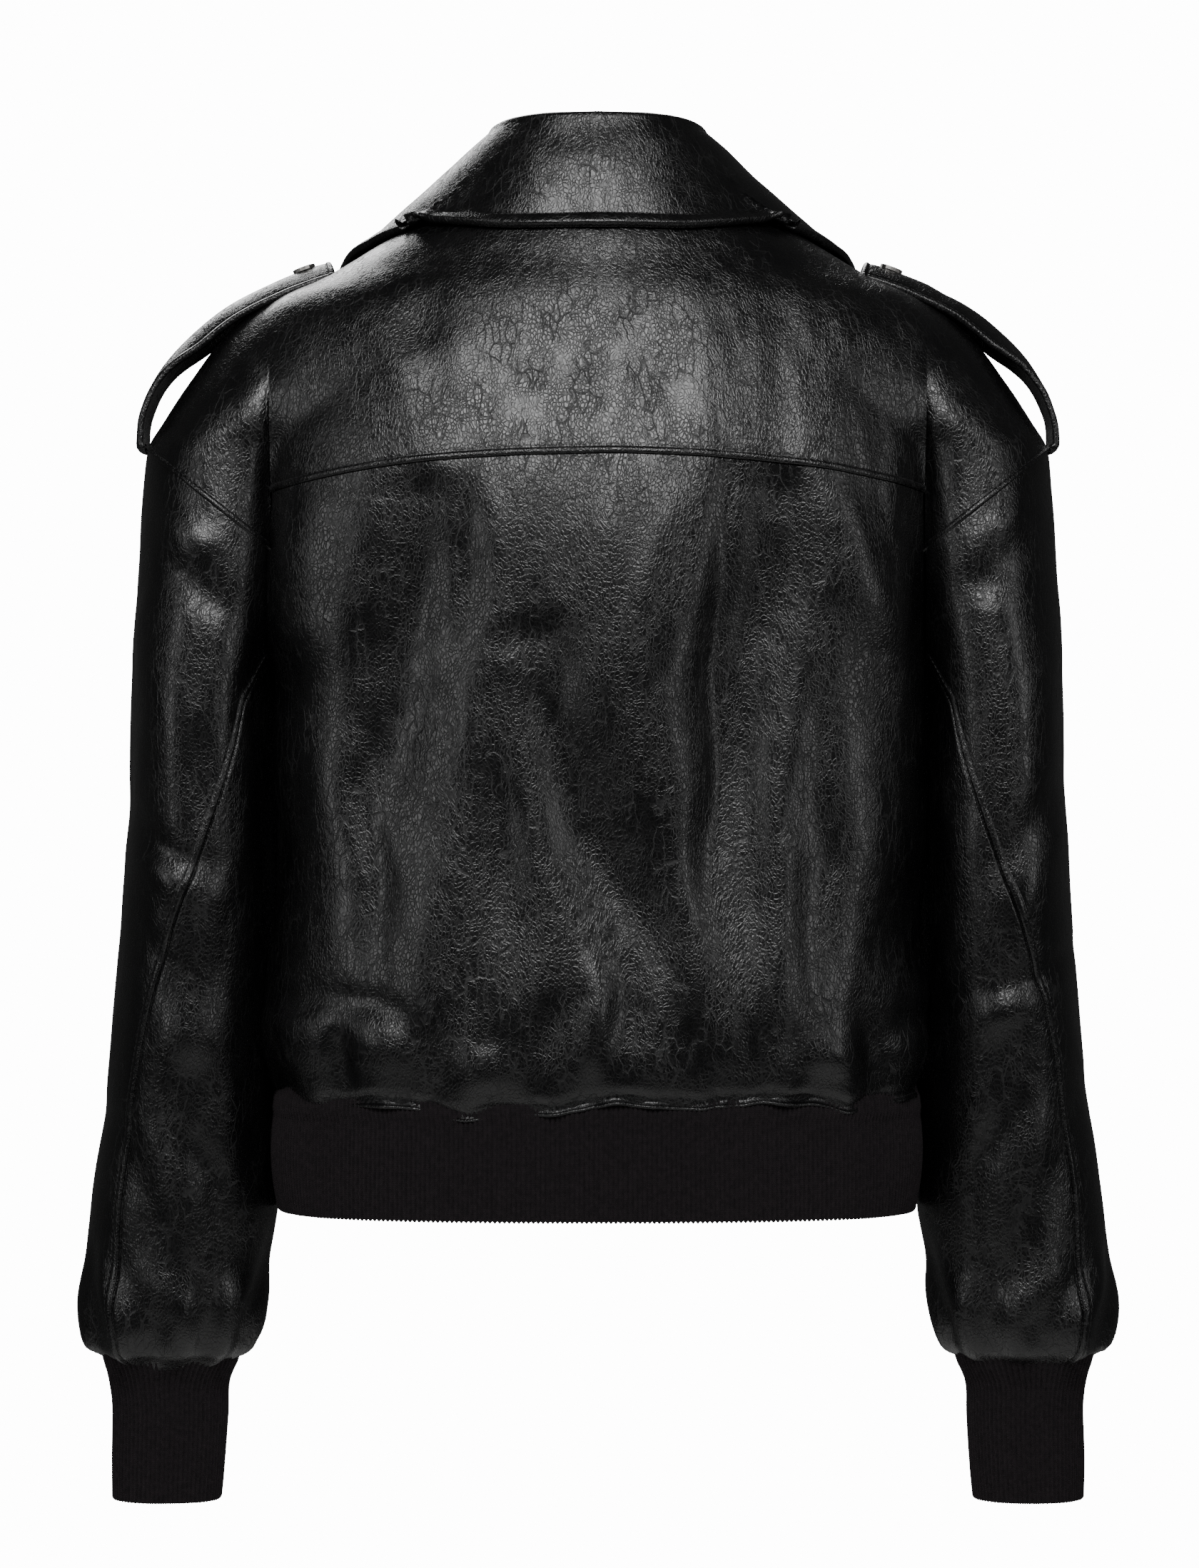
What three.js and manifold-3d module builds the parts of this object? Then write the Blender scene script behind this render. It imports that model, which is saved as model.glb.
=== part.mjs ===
// A cropped leather riding jacket: yoked back, drop shoulders with epaulettes, a wide folded collar
// with lapels, a straight centre zip, flap pockets, and a ribbed knit waistband and cuffs.
// Millimetres, +Z up, front towards -Y, +X on the wearer's left. Heights count from the neck seam
// at the centre back, where the hanging loop is, and that point is the origin.
import * as THREE from 'three';
import { mergeVertices } from 'three/addons/utils/BufferGeometryUtils.js';
import Module from 'manifold-3d';

// ---------- driving dimensions ----------
const LEATHER = 2.0; // thickness of a leather panel with its interlining
const LINING = 1.0;
const LINING_DEPTH = 6.0; // from the outside of the leather to the outside of the lining
const SEAM_GAP = 0.5; // left between neighbouring panels
const ARMHOLE_GAP = 2; // left at the armhole, where the sleeve swings
const NECK_DEPTH = 54; // from the body's mid plane back to the hanging loop
const HEM = -510; // seam between leather and waistband
const WAIST_END = -573; // free edge of the waistband
const ARMPIT = -300;
const YOKE_CENTRE = -158; // back yoke seam at the centre back
const YOKE_SIDE = -176; // and where it meets the armhole
const SHOULDER_POINT = { x: 252, z: -150 }; // outer end of the dropped shoulder
const ARMHOLE_SLOPE = 0.817; // fall of the armhole seam for each mm inwards
const ARMHOLE_CREASE = -208; // where that seam dives into the underarm fold
const SLEEVE_END = -660; // seam between sleeve and cuff
const CUFF_END = -738;
const BREAK = -245; // top of the closed zip, where the lapels part
const ZIP_HALF_GAP = 7; // leather edge to centre line
const FRONT_FLAT = 130; // depth of the straight centre front
const FOLD_X = 180; // the fold between back and arm, where the yoke seam ends
const UNDERARM_CLEARANCE = 3; // between torso and sleeve where they part
const STRAP_WIDTH = 46; // epaulette
const STRAP_THICKNESS = 3;
const SNAP_RADIUS = 6.5;
const STUD_RADIUS = 4;
const FLAP_TOP = -392; // pocket flap
const FLAP_X = [42, 118];
const FLAP_LIFT = 2.4; // underside above the front panel
const FLAP_THICKNESS = 2.2;
const TOOTH_PITCH = 8;
const TOOTH_HEIGHT = 3.2;
const ZIP_BOTTOM = -562;
const PIN = { y: -135.6, z: -241, radius: 0.8 }; // the puller swings on it

// ---------- colours ----------
const leather = paint(0x0b0b0c, 0.38, 0);
const liningCloth = paint(0x141416, 0.7, 0);
const knit = paint(0x151216, 0.95, 0);
const tapeCloth = paint(0x101012, 0.85, 0);
const metal = paint(0x8f9195, 0.3, 1);

function paint(color, roughness, metalness) {
  return new THREE.MeshStandardMaterial({ color, roughness, metalness });
}

// ---------- profiles: rows of [height, value, value ...], smoothly joined ----------
function profile(rows) {
  const heights = rows.map((row) => row[0]);
  const slope = (i, k) => {
    const a = Math.max(0, i - 1);
    const b = Math.min(rows.length - 1, i + 1);
    return (rows[b][k] - rows[a][k]) / (heights[b] - heights[a]);
  };
  return (z, k = 1) => {
    const last = rows.length - 1;
    if (z >= heights[0]) return rows[0][k];
    if (z <= heights[last]) return rows[last][k];
    const i = heights.findIndex((h) => h < z) - 1;
    const span = heights[i + 1] - heights[i];
    const t = (z - heights[i]) / span;
    const h1 = 2 * t ** 3 - 3 * t ** 2 + 1;
    const h2 = t ** 3 - 2 * t ** 2 + t;
    const h3 = -2 * t ** 3 + 3 * t ** 2;
    const h4 = t ** 3 - t ** 2;
    return h1 * rows[i][k] + h2 * span * slope(i, k) + h3 * rows[i + 1][k] + h4 * span * slope(i + 1, k);
  };
}

// height, half width, back depth, front depth, squareness
const torso = profile([
  [0, 74, 62, 60, 2.0],
  [-10, 80, 66, 66, 2.0],
  [-20, 95, 70, 74, 2.05],
  [-32, 118, 76, 82, 2.1],
  [-50, 148, 82, 91, 2.15],
  [-64, 176, 87, 98, 2.25],
  [-78, 188, 91, 105, 2.4],
  [-105, 190, 98, 115, 2.7],
  [-150, 190, 108, 126, 3.0],
  [-208, 187, 115, 130, 3.0],
  [-300, 181, 118, 130, 2.85],
  [-400, 181, 118, 130, 2.7],
  [-480, 184, 120, 130, 2.6],
  [-510, 180, 113, 130, 2.6],
  [-520, 177, 109, 127, 2.6],
  [-573, 178, 111, 127, 2.6],
]);
// height, outer edge, inner edge, half depth, mid depth
const arm = profile([
  [-50, 142, 10, 40, 0],
  [-65, 181, 12, 54, 0],
  [-84, 207, 20, 63, 0],
  [-111, 228, 58, 68, 0],
  [-134, 243, 112, 68, 0],
  [-150, 252, 148, 68, -2],
  [-208, 257, 165, 75, -5],
  [-300, 261, 182.5, 80, -8],
  [-400, 266, 183.5, 78, -12],
  [-500, 275, 184.5, 69, -16],
  [-578, 284.5, 184.5, 61, -18],
  [-630, 288.5, 189.5, 56, -18],
  [-650, 285, 195.5, 50, -18],
  [-660, 278, 203, 40, -18],
  [-672, 274.5, 209, 31, -18],
  [-690, 272.5, 210, 29, -18],
  [-738, 273, 212, 29, -18],
]);
// share of the way down the sleeve, angle of the back seam round the arm in degrees
const backSeam = profile([
  [0, 158], [-0.03, 150], [-0.256, 120], [-0.42, 92], [-0.557, 70],
  [-0.65, 60], [-0.747, 55], [-0.844, 56], [-1, 61],
]);
const FRONT_SEAM = -95;

// ---------- the body's surface ----------
const ARM_SQUARENESS = 2.2;
const superDepth = (share, n) => (1 - Math.min(1, Math.abs(share)) ** n) ** (1 / n);

function torsoDepth(x, z, side) {
  const half = torso(z, 1);
  const depth = side > 0 ? torso(z, 2) : torso(z, 3);
  return x < half ? depth * superDepth(x / half, torso(z, 4)) : -2 * (x - half);
}

function armDepth(x, z, side) {
  const centre = (arm(z, 1) + arm(z, 2)) / 2;
  const half = (arm(z, 1) - arm(z, 2)) / 2;
  const share = Math.abs(x - centre) / half;
  const mid = side * arm(z, 4);
  return share < 1 ? mid + arm(z, 3) * superDepth(share, ARM_SQUARENESS) : mid - 2 * half * (share - 1);
}

// Shoulder and torso run into each other softly at the top and in a tight fold at the underarm.
const softness = profile([[-50, 1], [-65, 20], [-84, 26], [-111, 22], [-150, 11], [-208, 4], [-228, 1]]);

function bodyDepth(x, z, side) {
  const a = torsoDepth(x, z, side);
  if (z > -50 || z < -228) return a;
  const b = armDepth(x, z, side);
  const soft = softness(z);
  const h = THREE.MathUtils.clamp(0.5 + (0.5 * (a - b)) / soft, 0, 1);
  return b + (a - b) * h + soft * h * (1 - h);
}

// x of the armhole seam, of the underarm fold below it, and of the side seam below that
function creaseX(z, side) {
  let near = 120;
  let far = torso(z, 1);
  if (armDepth(far, z, side) < 0.5) return far;
  for (let i = 0; i < 30; i++) {
    const mid = (near + far) / 2;
    if (torsoDepth(mid, z, side) > armDepth(mid, z, side)) near = mid;
    else far = mid;
  }
  return far;
}

function outerX(z, side) {
  if (z > SHOULDER_POINT.z) return z > -50 ? torso(z, 1) : Math.max(torso(z, 1), arm(z, 1));
  if (z > ARMHOLE_CREASE) return SHOULDER_POINT.x - (SHOULDER_POINT.z - z) / ARMHOLE_SLOPE;
  return z > ARMPIT ? creaseX(z, side) : torso(z, 1);
}

// height of the shoulder's ridge, and of the neckline inside it, at x
function ridgeZ(x) {
  if (x <= torso(0, 1)) return 0;
  let low = SHOULDER_POINT.z;
  let high = 0;
  for (let i = 0; i < 30; i++) {
    const mid = (low + high) / 2;
    if (outerX(mid, 1) > x) low = mid;
    else high = mid;
  }
  return low;
}

function bodyPoint(x, z, side, hand = 1) {
  return new THREE.Vector3(hand * x, side * Math.max(bodyDepth(x, z, side), SEAM_GAP), z);
}

// Moves a point off the body until it is at least this far outside it.
function standOff(p, clearance) {
  const outside = (q) => Math.abs(q.y) - bodyDepth(Math.abs(q.x), q.z, q.y < 0 ? -1 : 1);
  const step = 0.5;
  for (let i = 0; i < 4; i++) {
    const here = outside(p);
    const slope = ['x', 'y', 'z'].map((axis) => {
      const q = p.clone();
      q[axis] += step;
      return (outside(q) - here) / step;
    });
    const rise = new THREE.Vector3(...slope);
    const distance = here / rise.length();
    if (distance < clearance) p.addScaledVector(rise.normalize(), clearance - distance);
  }
  return p;
}

const bodyCore = (p) => new THREE.Vector3(p.x * 0.8, 0, Math.min(p.z, -120));

// ---------- the sleeve's surface ----------
function armPoint(angle, z, hand = 1) {
  const centre = (arm(z, 1) + arm(z, 2)) / 2;
  const half = (arm(z, 1) - arm(z, 2)) / 2;
  const c = Math.cos(angle);
  const s = Math.sin(angle);
  const power = 2 / ARM_SQUARENESS;
  const x = centre + half * Math.sign(c) * Math.abs(c) ** power;
  const y = arm(z, 4) + arm(z, 3) * Math.sign(s) * Math.abs(s) ** power;
  return new THREE.Vector3(hand * x, y, z);
}

const armCore = ({ x, z }) =>
  new THREE.Vector3((Math.sign(x) * (arm(z, 1) + arm(z, 2))) / 2, arm(z, 4), z);

// The sleeve starts at the armhole seam or, further in, where the arm comes out of the torso.
function sleeveTop(angle) {
  let low = ARMPIT - 15;
  let high = SHOULDER_POINT.z + 10;
  for (let i = 0; i < 30; i++) {
    const mid = (low + high) / 2;
    const p = armPoint(angle, mid);
    const seam = SHOULDER_POINT.z - ARMHOLE_SLOPE * (SHOULDER_POINT.x - p.x);
    const depth = p.y > 0 ? torso(mid, 2) : torso(mid, 3);
    const n = torso(mid, 4);
    const room = UNDERARM_CLEARANCE;
    const clear = (p.x / (torso(mid, 1) + room)) ** n + (Math.abs(p.y) / (depth + room)) ** n > 1;
    if (mid < seam && clear) low = mid;
    else high = mid;
  }
  return low - ARMHOLE_GAP;
}

// ---------- solids from surfaces ----------
// at(u, v) gives a surface point; the sheet hangs between two depths measured inwards, towards core.
function sheet(at, columns, rows, { outer = 0, thickness, core, closed = false }) {
  const wide = closed ? columns : columns + 1;
  const grid = [];
  for (let j = 0; j <= rows; j++) {
    for (let i = 0; i < wide; i++) grid.push(at(i / columns, j / rows));
  }
  const index = (i, j) => j * wide + (closed ? (i + wide) % wide : Math.min(Math.max(i, 0), columns));
  const normals = grid.map((_, k) => {
    const i = k % wide;
    const j = Math.floor(k / wide);
    const du = grid[index(i + 1, j)].clone().sub(grid[index(i - 1, j)]);
    const dv = grid[index(i, Math.min(j + 1, rows))].clone().sub(grid[index(i, Math.max(j - 1, 0))]);
    return du.cross(dv).normalize();
  });
  const agree = grid.reduce((sum, p, k) => sum + normals[k].dot(p.clone().sub(core(p))), 0);
  const inward = agree > 0 ? -1 : 1;
  const layer = (depth) => grid.map((p, k) => p.clone().addScaledVector(normals[k], inward * depth));
  const points = [...layer(outer), ...layer(outer + thickness)];
  const n = grid.length;
  const triangles = [];
  const quad = (a, b, c, d) => triangles.push([a, b, c], [a, c, d]);
  const spans = closed ? wide : columns;
  for (let j = 0; j < rows; j++) {
    for (let i = 0; i < spans; i++) {
      const [a, b, c, d] = [index(i, j), index(i + 1, j), index(i + 1, j + 1), index(i, j + 1)];
      quad(a, b, c, d);
      quad(n + d, n + c, n + b, n + a);
    }
  }
  for (let i = 0; i < spans; i++) {
    quad(n + index(i, 0), n + index(i + 1, 0), index(i + 1, 0), index(i, 0));
    quad(index(i, rows), index(i + 1, rows), n + index(i + 1, rows), n + index(i, rows));
  }
  if (!closed) {
    for (let j = 0; j < rows; j++) {
      quad(index(0, j), index(0, j + 1), n + index(0, j + 1), n + index(0, j));
      quad(n + index(columns, j), n + index(columns, j + 1), index(columns, j + 1), index(columns, j));
    }
  }
  return closedGeometry(points, triangles);
}

function closedGeometry(points, triangles) {
  const volume = triangles.reduce(
    (sum, [a, b, c]) => sum + points[a].dot(points[b].clone().cross(points[c])), 0);
  const facing = volume > 0 ? triangles : triangles.map(([a, b, c]) => [a, c, b]);
  return new THREE.BufferGeometry()
    .setFromPoints(points)
    .setIndex(facing.flat());
}

const jacket = new THREE.Group();
jacket.position.y = -NECK_DEPTH;

function add(name, geometry, material) {
  const mesh = new THREE.Mesh(geometry, material);
  mesh.name = name;
  jacket.add(mesh);
  return mesh;
}

const HANDS = [['left', 1], ['right', -1]];
const mix = THREE.MathUtils.lerp;
const bow = (t) => Math.sin((t * Math.PI) / 2); // closes up the steps towards a turning edge

// ---------- back: yoke and panel ----------
const among = (stations, t) => {
  const at = t * (stations.length - 1);
  const i = Math.min(Math.floor(at), stations.length - 2);
  return mix(stations[i], stations[i + 1], at - i);
};

const yokeSeam = (x) => mix(YOKE_CENTRE, YOKE_SIDE, Math.min(1, x / FOLD_X) ** 2.4);
const armholeSeam = (x) => SHOULDER_POINT.z - ARMHOLE_SLOPE * (SHOULDER_POINT.x - x);
const YOKE_X = [0, 30, 58, 72, 78, 96, 116, 136, 156, 170, FOLD_X, FOLD_X + 4.5, 200, 216, 232, 249];

add('back_yoke', sheet((u, v) => {
  const x = among(YOKE_X, Math.abs(2 * u - 1));
  const low = (x < FOLD_X + 1 ? yokeSeam(x) : armholeSeam(x)) + SEAM_GAP;
  const high = ridgeZ(x) - (x > torso(0, 1) ? 0.1 : 0);
  return bodyPoint(x, mix(low, high, 1 - (1 - v) ** 2), 1, Math.sign(2 * u - 1) || 1);
}, 2 * (YOKE_X.length - 1), 7, { thickness: LEATHER, core: bodyCore }), leather);

function backPanelPoint(u, v) {
  const share = bow(Math.abs(2 * u - 1));
  const z = mix(HEM + SEAM_GAP, yokeSeam(share * FOLD_X) - SEAM_GAP, v);
  const edge = z > ARMHOLE_CREASE ? FOLD_X : Math.min(FOLD_X + 6, creaseX(z, 1));
  const x = share * (edge - 2 * SEAM_GAP);
  return new THREE.Vector3((Math.sign(2 * u - 1) || 1) * x, Math.max(torsoDepth(x, z, 1), 1), z);
}

add('back_panel', sheet(backPanelPoint, 18, 9, { thickness: LEATHER, core: bodyCore }), leather);

// ---------- fronts, each from the shoulder's ridge to the hem ----------
const neckEdge = profile([
  [-10, 66], [-20, 63], [-50, 52], [-120, 33], [-190, 17],
  [-238, ZIP_HALF_GAP + 1], [BREAK, ZIP_HALF_GAP],
]);

const FRONT_Z = [HEM + SEAM_GAP, -450, -390, -340, -300, -265, -235, ARMHOLE_CREASE - 0.5, -190, -170,
  SHOULDER_POINT.z - 0.5, -132, -112, -92, -74, -58, -42, -26, -12];
const LINING_X = FOLD_X - 9; // the body lining ends before the fold, where the sleeve lining takes over
const LINING_MARGIN = 12; // and stops this short of the shoulder's ridge

const liningX = (z, side) => Math.min(LINING_X, outerX(z, side) - LINING_MARGIN);

function frontPoint(u, z, hand) {
  const x = mix(neckEdge(z), outerX(z, -1) - 2 * SEAM_GAP, bow(u));
  return new THREE.Vector3(hand * x, -Math.max(bodyDepth(x, z, -1), 1), z);
}

for (const [word, hand] of HANDS) {
  const panelPoint = (u, v) => frontPoint(u, among(FRONT_Z, v), hand);
  add(`front_panel_${word}`, sheet(panelPoint, 8, FRONT_Z.length - 1,
    { thickness: LEATHER, core: bodyCore }), leather);
  add(`lining_front_${word}`, sheet((u, v) => {
    const z = among([HEM + 6, -420, -300, -200, -150, -110, -80, -55, -32], v);
    const x = mix(neckEdge(z) + 12, liningX(z, -1), bow(u));
    return new THREE.Vector3(hand * x, -bodyDepth(x, z, -1), z);
  }, 7, 8, { outer: LINING_DEPTH, thickness: LINING, core: bodyCore }), liningCloth);
  // zip facing: a leather strip inside the closed front edge
  add(`front_facing_${word}`, sheet((u, v) => {
    const z = mix(HEM + 8, BREAK - 12, v);
    const x = mix(ZIP_HALF_GAP + 10, ZIP_HALF_GAP + 38, u);
    return new THREE.Vector3(hand * x, -torsoDepth(x, z, -1), z);
  }, 3, 4, { outer: 4.4, thickness: 1, core: bodyCore }), leather);
}

add('lining_back', sheet((u, v) => {
  const across = 2 * u - 1;
  const z = among([HEM + 6, -430, -330, -240, -175, -130, -98, -74, -54, -38, -24], v);
  const x = liningX(z, 1) * bow(Math.abs(across));
  return new THREE.Vector3(Math.sign(across) * x, bodyDepth(x, z, 1), z);
}, 12, 10, { outer: LINING_DEPTH, thickness: LINING, core: bodyCore }), liningCloth);

// ---------- sleeves and cuffs ----------
const rad = THREE.MathUtils.degToRad;

const SLEEVE_ROWS = [0, 0.08, 0.2, 0.36, 0.54, 0.72, 0.87, 0.95, 0.98, 1];

function sleevePoint(angle, v, hand, top = 0, bottom = SLEEVE_END) {
  return armPoint(angle, mix(sleeveTop(angle) - top, bottom, v), hand);
}

const PANEL_GAP = 0.8; // degrees round the arm, either side of a sleeve seam
for (const [word, hand] of HANDS) {
  add(`sleeve_top_${word}`, sheet((u, row) => {
    const v = among(SLEEVE_ROWS, row);
    const angle = mix(FRONT_SEAM + PANEL_GAP, backSeam(-v) - PANEL_GAP, u);
    return sleevePoint(rad(angle), v, hand);
  }, 13, 9, { thickness: LEATHER, core: armCore }), leather);
  add(`sleeve_under_${word}`, sheet((u, row) => {
    const v = among(SLEEVE_ROWS, row);
    const angle = mix(backSeam(-v) + PANEL_GAP, 360 + FRONT_SEAM - PANEL_GAP, u);
    return sleevePoint(rad(angle), v, hand);
  }, 9, 9, { thickness: LEATHER, core: armCore }), leather);
  const liningPoint = (u, v) => sleevePoint(2 * Math.PI * u, v, hand, 10, SLEEVE_END + 26);
  add(`sleeve_lining_${word}`, sheet(liningPoint, 14, 6,
    { outer: 8, thickness: LINING, core: armCore, closed: true }), liningCloth);
  const cuffPoint = (u, v) => armPoint(2 * Math.PI * u, mix(SLEEVE_END - 1, CUFF_END, v ** 1.5), hand);
  add(`cuff_rib_${word}`, sheet(cuffPoint, 16, 4, { thickness: 3, core: armCore, closed: true }), knit);
}

// ---------- waistband, open at the zip, with a leather tab at each end ----------
const TAB_WIDTH = 36;

function waistPoint(angle, z) {
  const half = torso(z, 1);
  const power = 2 / torso(z, 4);
  const c = Math.cos(angle);
  const s = Math.sin(angle);
  const depth = c > 0 ? torso(z, 2) : torso(z, 3);
  return new THREE.Vector3(
    half * Math.sign(s) * Math.abs(s) ** power,
    depth * Math.sign(c) * Math.abs(c) ** power,
    z,
  );
}

const RIB_END_X = ZIP_HALF_GAP + TAB_WIDTH + SEAM_GAP;
const RIB_END_ANGLE = Math.PI - Math.asin((RIB_END_X / 177) ** 1.3);
add('waistband_rib', sheet((u, v) => {
  const angle = mix(-RIB_END_ANGLE, RIB_END_ANGLE, u);
  return waistPoint(angle, mix(WAIST_END, HEM - SEAM_GAP, v));
}, 36, 3, { thickness: 3.5, core: bodyCore }), knit);

for (const [word, hand] of HANDS) {
  add(`waistband_tab_${word}`, sheet((u, v) => {
    const x = mix(ZIP_HALF_GAP, ZIP_HALF_GAP + TAB_WIDTH - SEAM_GAP, u);
    return new THREE.Vector3(hand * x, -FRONT_FLAT + 3 * u ** 2, mix(WAIST_END, HEM - SEAM_GAP, v));
  }, 3, 2, { thickness: LEATHER, core: bodyCore }), leather);
}

// ---------- collar: a stand inside and a wide fall outside, folded over at the roll line ----------
// Each row follows the collar from the centre back to its front end: x, y, z.
function curve(rows) {
  const points = rows.map((row) => new THREE.Vector3(...row));
  return new THREE.CatmullRomCurve3(points, false, 'centripetal');
}

const neckSeam = curve([
  [0, 60.5, 1.5], [30, 55.5, 1.5], [55, 40.5, 1.5], [70, 17, 1],
  [72.5, -6, -1], [70, -28, -6], [64, -46, -12], [60, -58, -17],
]);
const rollLine = curve([
  [0, 62, 31], [30, 57, 30.5], [50, 38, 29], [59, 8, 25],
  [60, -30, 11], [54, -66, -18], [47, -98, -60], [42, -110, -88],
]);
const fallEdge = curve([
  [0, 79, -31], [50, 72, -31], [85, 50, -30], [110, 24, -29.5],
  [128, 0, -32], [142, -24, -40], [150, -69, -66], [148, -95, -108], [139, -113, -150],
]);
const STAND_END = 5 / 7; // how far along the roll line the stand reaches
const handOf = (u) => Math.sign(2 * u - 1) || 1;

add('collar_fall', sheet((u, v) => {
  const t = Math.abs(2 * u - 1);
  const fold = rollLine.getPoint(t);
  const edge = fallEdge.getPoint(t);
  const out = edge.clone().sub(fold).setZ(0).normalize();
  const p = fold.lerp(edge, v).addScaledVector(out, 3.2 * (1 - 0.6 * v));
  p.z += 7 * Math.sin(Math.PI * v) * t;
  standOff(p, 5);
  p.x *= handOf(u);
  return p;
}, 28, 5, { thickness: LEATHER, core: (p) => new THREE.Vector3(0, -30, p.z - 60) }), leather);

add('collar_stand', sheet((u, v) => {
  const t = Math.abs(2 * u - 1);
  const p = neckSeam.getPoint(t).lerp(rollLine.getPoint(t * STAND_END), v);
  p.x *= handOf(u);
  return p;
}, 20, 3, { thickness: LEATHER, core: (p) => new THREE.Vector3(0, 0, p.z) }), leather);

// ---------- lapels: the open top of each front, turned back ----------
for (const [word, hand] of HANDS) {
  add(`lapel_${word}`, sheet((u, v) => {
    const innerZ = mix(-96, BREAK + 2, v);
    const inner = new THREE.Vector2(neckEdge(innerZ), innerZ);
    const tip = new THREE.Vector2(mix(114, ZIP_HALF_GAP + 5, v), mix(-160, BREAK + 1, v));
    const { x, y: z } = inner.lerp(tip, u);
    return bodyPoint(x, z, -1, hand);
  }, 6, 5, { outer: -5, thickness: LEATHER, core: bodyCore }), leather);
}

// ---------- inside the neck: hanging loop and a blank label ----------
add('hanging_loop', sheet((u, v) => {
  const across = 2 * u - 1;
  return new THREE.Vector3(25 * across, 53 - 4.5 * (1 - across ** 2), mix(-3, 3, v));
}, 8, 1, { thickness: 1.2, core: () => new THREE.Vector3(0, 0, 0) }), leather);

const label = add('neck_label', new THREE.BoxGeometry(30, 0.8, 14), liningCloth);
label.position.set(0, 55.7, 19);

// ---------- press studs ----------
function disc(name, point, normal, radius, from, to) {
  const mesh = add(name, new THREE.CylinderGeometry(radius, radius, to - from, 14), metal);
  mesh.quaternion.setFromUnitVectors(new THREE.Vector3(0, 1, 0), normal);
  mesh.position.copy(point).addScaledVector(normal, (from + to) / 2);
}

function frontNormal(x, z, hand) {
  const step = 1;
  const dx = bodyPoint(x + step, z, -1, hand).sub(bodyPoint(x - step, z, -1, hand));
  const dz = bodyPoint(x, z + step, -1, hand).sub(bodyPoint(x, z - step, -1, hand));
  const normal = dx.cross(dz).normalize();
  return normal.y > 0 ? normal.negate() : normal;
}

// ---------- epaulettes: a strap from the shoulder point to the collar, held by a stud ----------
const strapLine = curve([
  [149, 0, -43.9], [164, 0, -48.6], [181, 0, -55.3], [209.5, 0, -70.5],
  [236, 0, -94], [248.5, 0, -112], [256.5, 0, -132], [257.6, 0, -145],
]);

const below = (p) => new THREE.Vector3(p.x * 0.6, 0, p.z - 80);

for (const [word, hand] of HANDS) {
  add(`epaulette_${word}`, sheet((u, v) => {
    const p = strapLine.getPoint(u);
    return new THREE.Vector3(hand * p.x, STRAP_WIDTH * (v - 0.5), p.z);
  }, 16, 1, { thickness: STRAP_THICKNESS, core: below }), leather);
  const near = strapLine.getPoint(1 / 7);
  const normal = new THREE.Vector3(hand * 0.34, 0, 0.94).normalize();
  const top = new THREE.Vector3(hand * near.x, 0, near.z);
  disc(`epaulette_snap_cap_${word}`, top, normal, SNAP_RADIUS, 0.4, 2.4);
  const under = -STRAP_THICKNESS;
  disc(`epaulette_snap_stud_${word}`, top, normal, STUD_RADIUS, under - 2.2, under - 0.4);
}

// ---------- flap pockets ----------
for (const [word, hand] of HANDS) {
  const onFront = (x, z) => bodyPoint(x, z, -1, hand);
  // the flap's lower edge comes to a point
  const depth = (share) => 32 + 8 * (1 - Math.abs(2 * share - 1));
  const patch = ([x1, x2], high, low) => (u, v) => onFront(mix(x1, x2, u), mix(high, low, v));
  add(`pocket_flap_${word}`, sheet((u, v) => onFront(mix(...FLAP_X, u), FLAP_TOP - v * depth(u)), 10, 4,
    { outer: -FLAP_LIFT - FLAP_THICKNESS, thickness: FLAP_THICKNESS, core: bodyCore }), leather);
  add(`pocket_welt_${word}`, sheet(patch([46, 114], FLAP_TOP - 2, FLAP_TOP - 12), 8, 1,
    { outer: -1.8, thickness: 1.4, core: bodyCore }), leather);
  add(`pocket_bag_${word}`, sheet(patch([50, 112], FLAP_TOP - 4, FLAP_TOP - 104), 5, 4,
    { outer: 3.2, thickness: 1.6, core: bodyCore }), liningCloth);
  const [x, z] = [80, FLAP_TOP - 27];
  disc(`pocket_snap_cap_${word}`, onFront(x, z), frontNormal(x, z, hand), SNAP_RADIUS, 4.9, 6.9);
  disc(`pocket_snap_stud_${word}`, onFront(x, z), frontNormal(x, z, hand), STUD_RADIUS, 0.4, 2.0);
}

// ---------- centre zip: tapes, interlocked teeth, stops, box, slider and puller ----------
const TEETH = { front: -129.8, back: -126.8, spine: [2.6, 4], tip: -1 };
const ZIP_TOP = -232;

function block(x1, x2, y1, y2, z1, z2) {
  return new THREE.BoxGeometry(x2 - x1, y2 - y1, z2 - z1)
    .translate((x1 + x2) / 2, (y1 + y2) / 2, (z1 + z2) / 2);
}

function comb(hand) {
  const [inner, outer] = TEETH.spine;
  const shape = new THREE.Shape();
  const count = Math.floor((BREAK - 9 - ZIP_BOTTOM) / TOOTH_PITCH);
  const first = ZIP_BOTTOM + (hand > 0 ? 0.5 : 0.5 + TOOTH_PITCH / 2);
  shape.moveTo(hand * outer, ZIP_BOTTOM);
  shape.lineTo(hand * inner, ZIP_BOTTOM);
  for (let i = 0; i < count; i++) {
    const z = first + i * TOOTH_PITCH;
    shape.lineTo(hand * inner, z);
    shape.lineTo(hand * TEETH.tip, z);
    shape.lineTo(hand * TEETH.tip, z + TOOTH_HEIGHT);
    shape.lineTo(hand * inner, z + TOOTH_HEIGHT);
  }
  const end = first + count * TOOTH_PITCH;
  shape.lineTo(hand * inner, end);
  shape.lineTo(hand * outer, end);
  return new THREE.ExtrudeGeometry(shape, { depth: TEETH.back - TEETH.front, bevelEnabled: false })
    .rotateX(Math.PI / 2)
    .translate(0, TEETH.back, 0);
}

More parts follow.
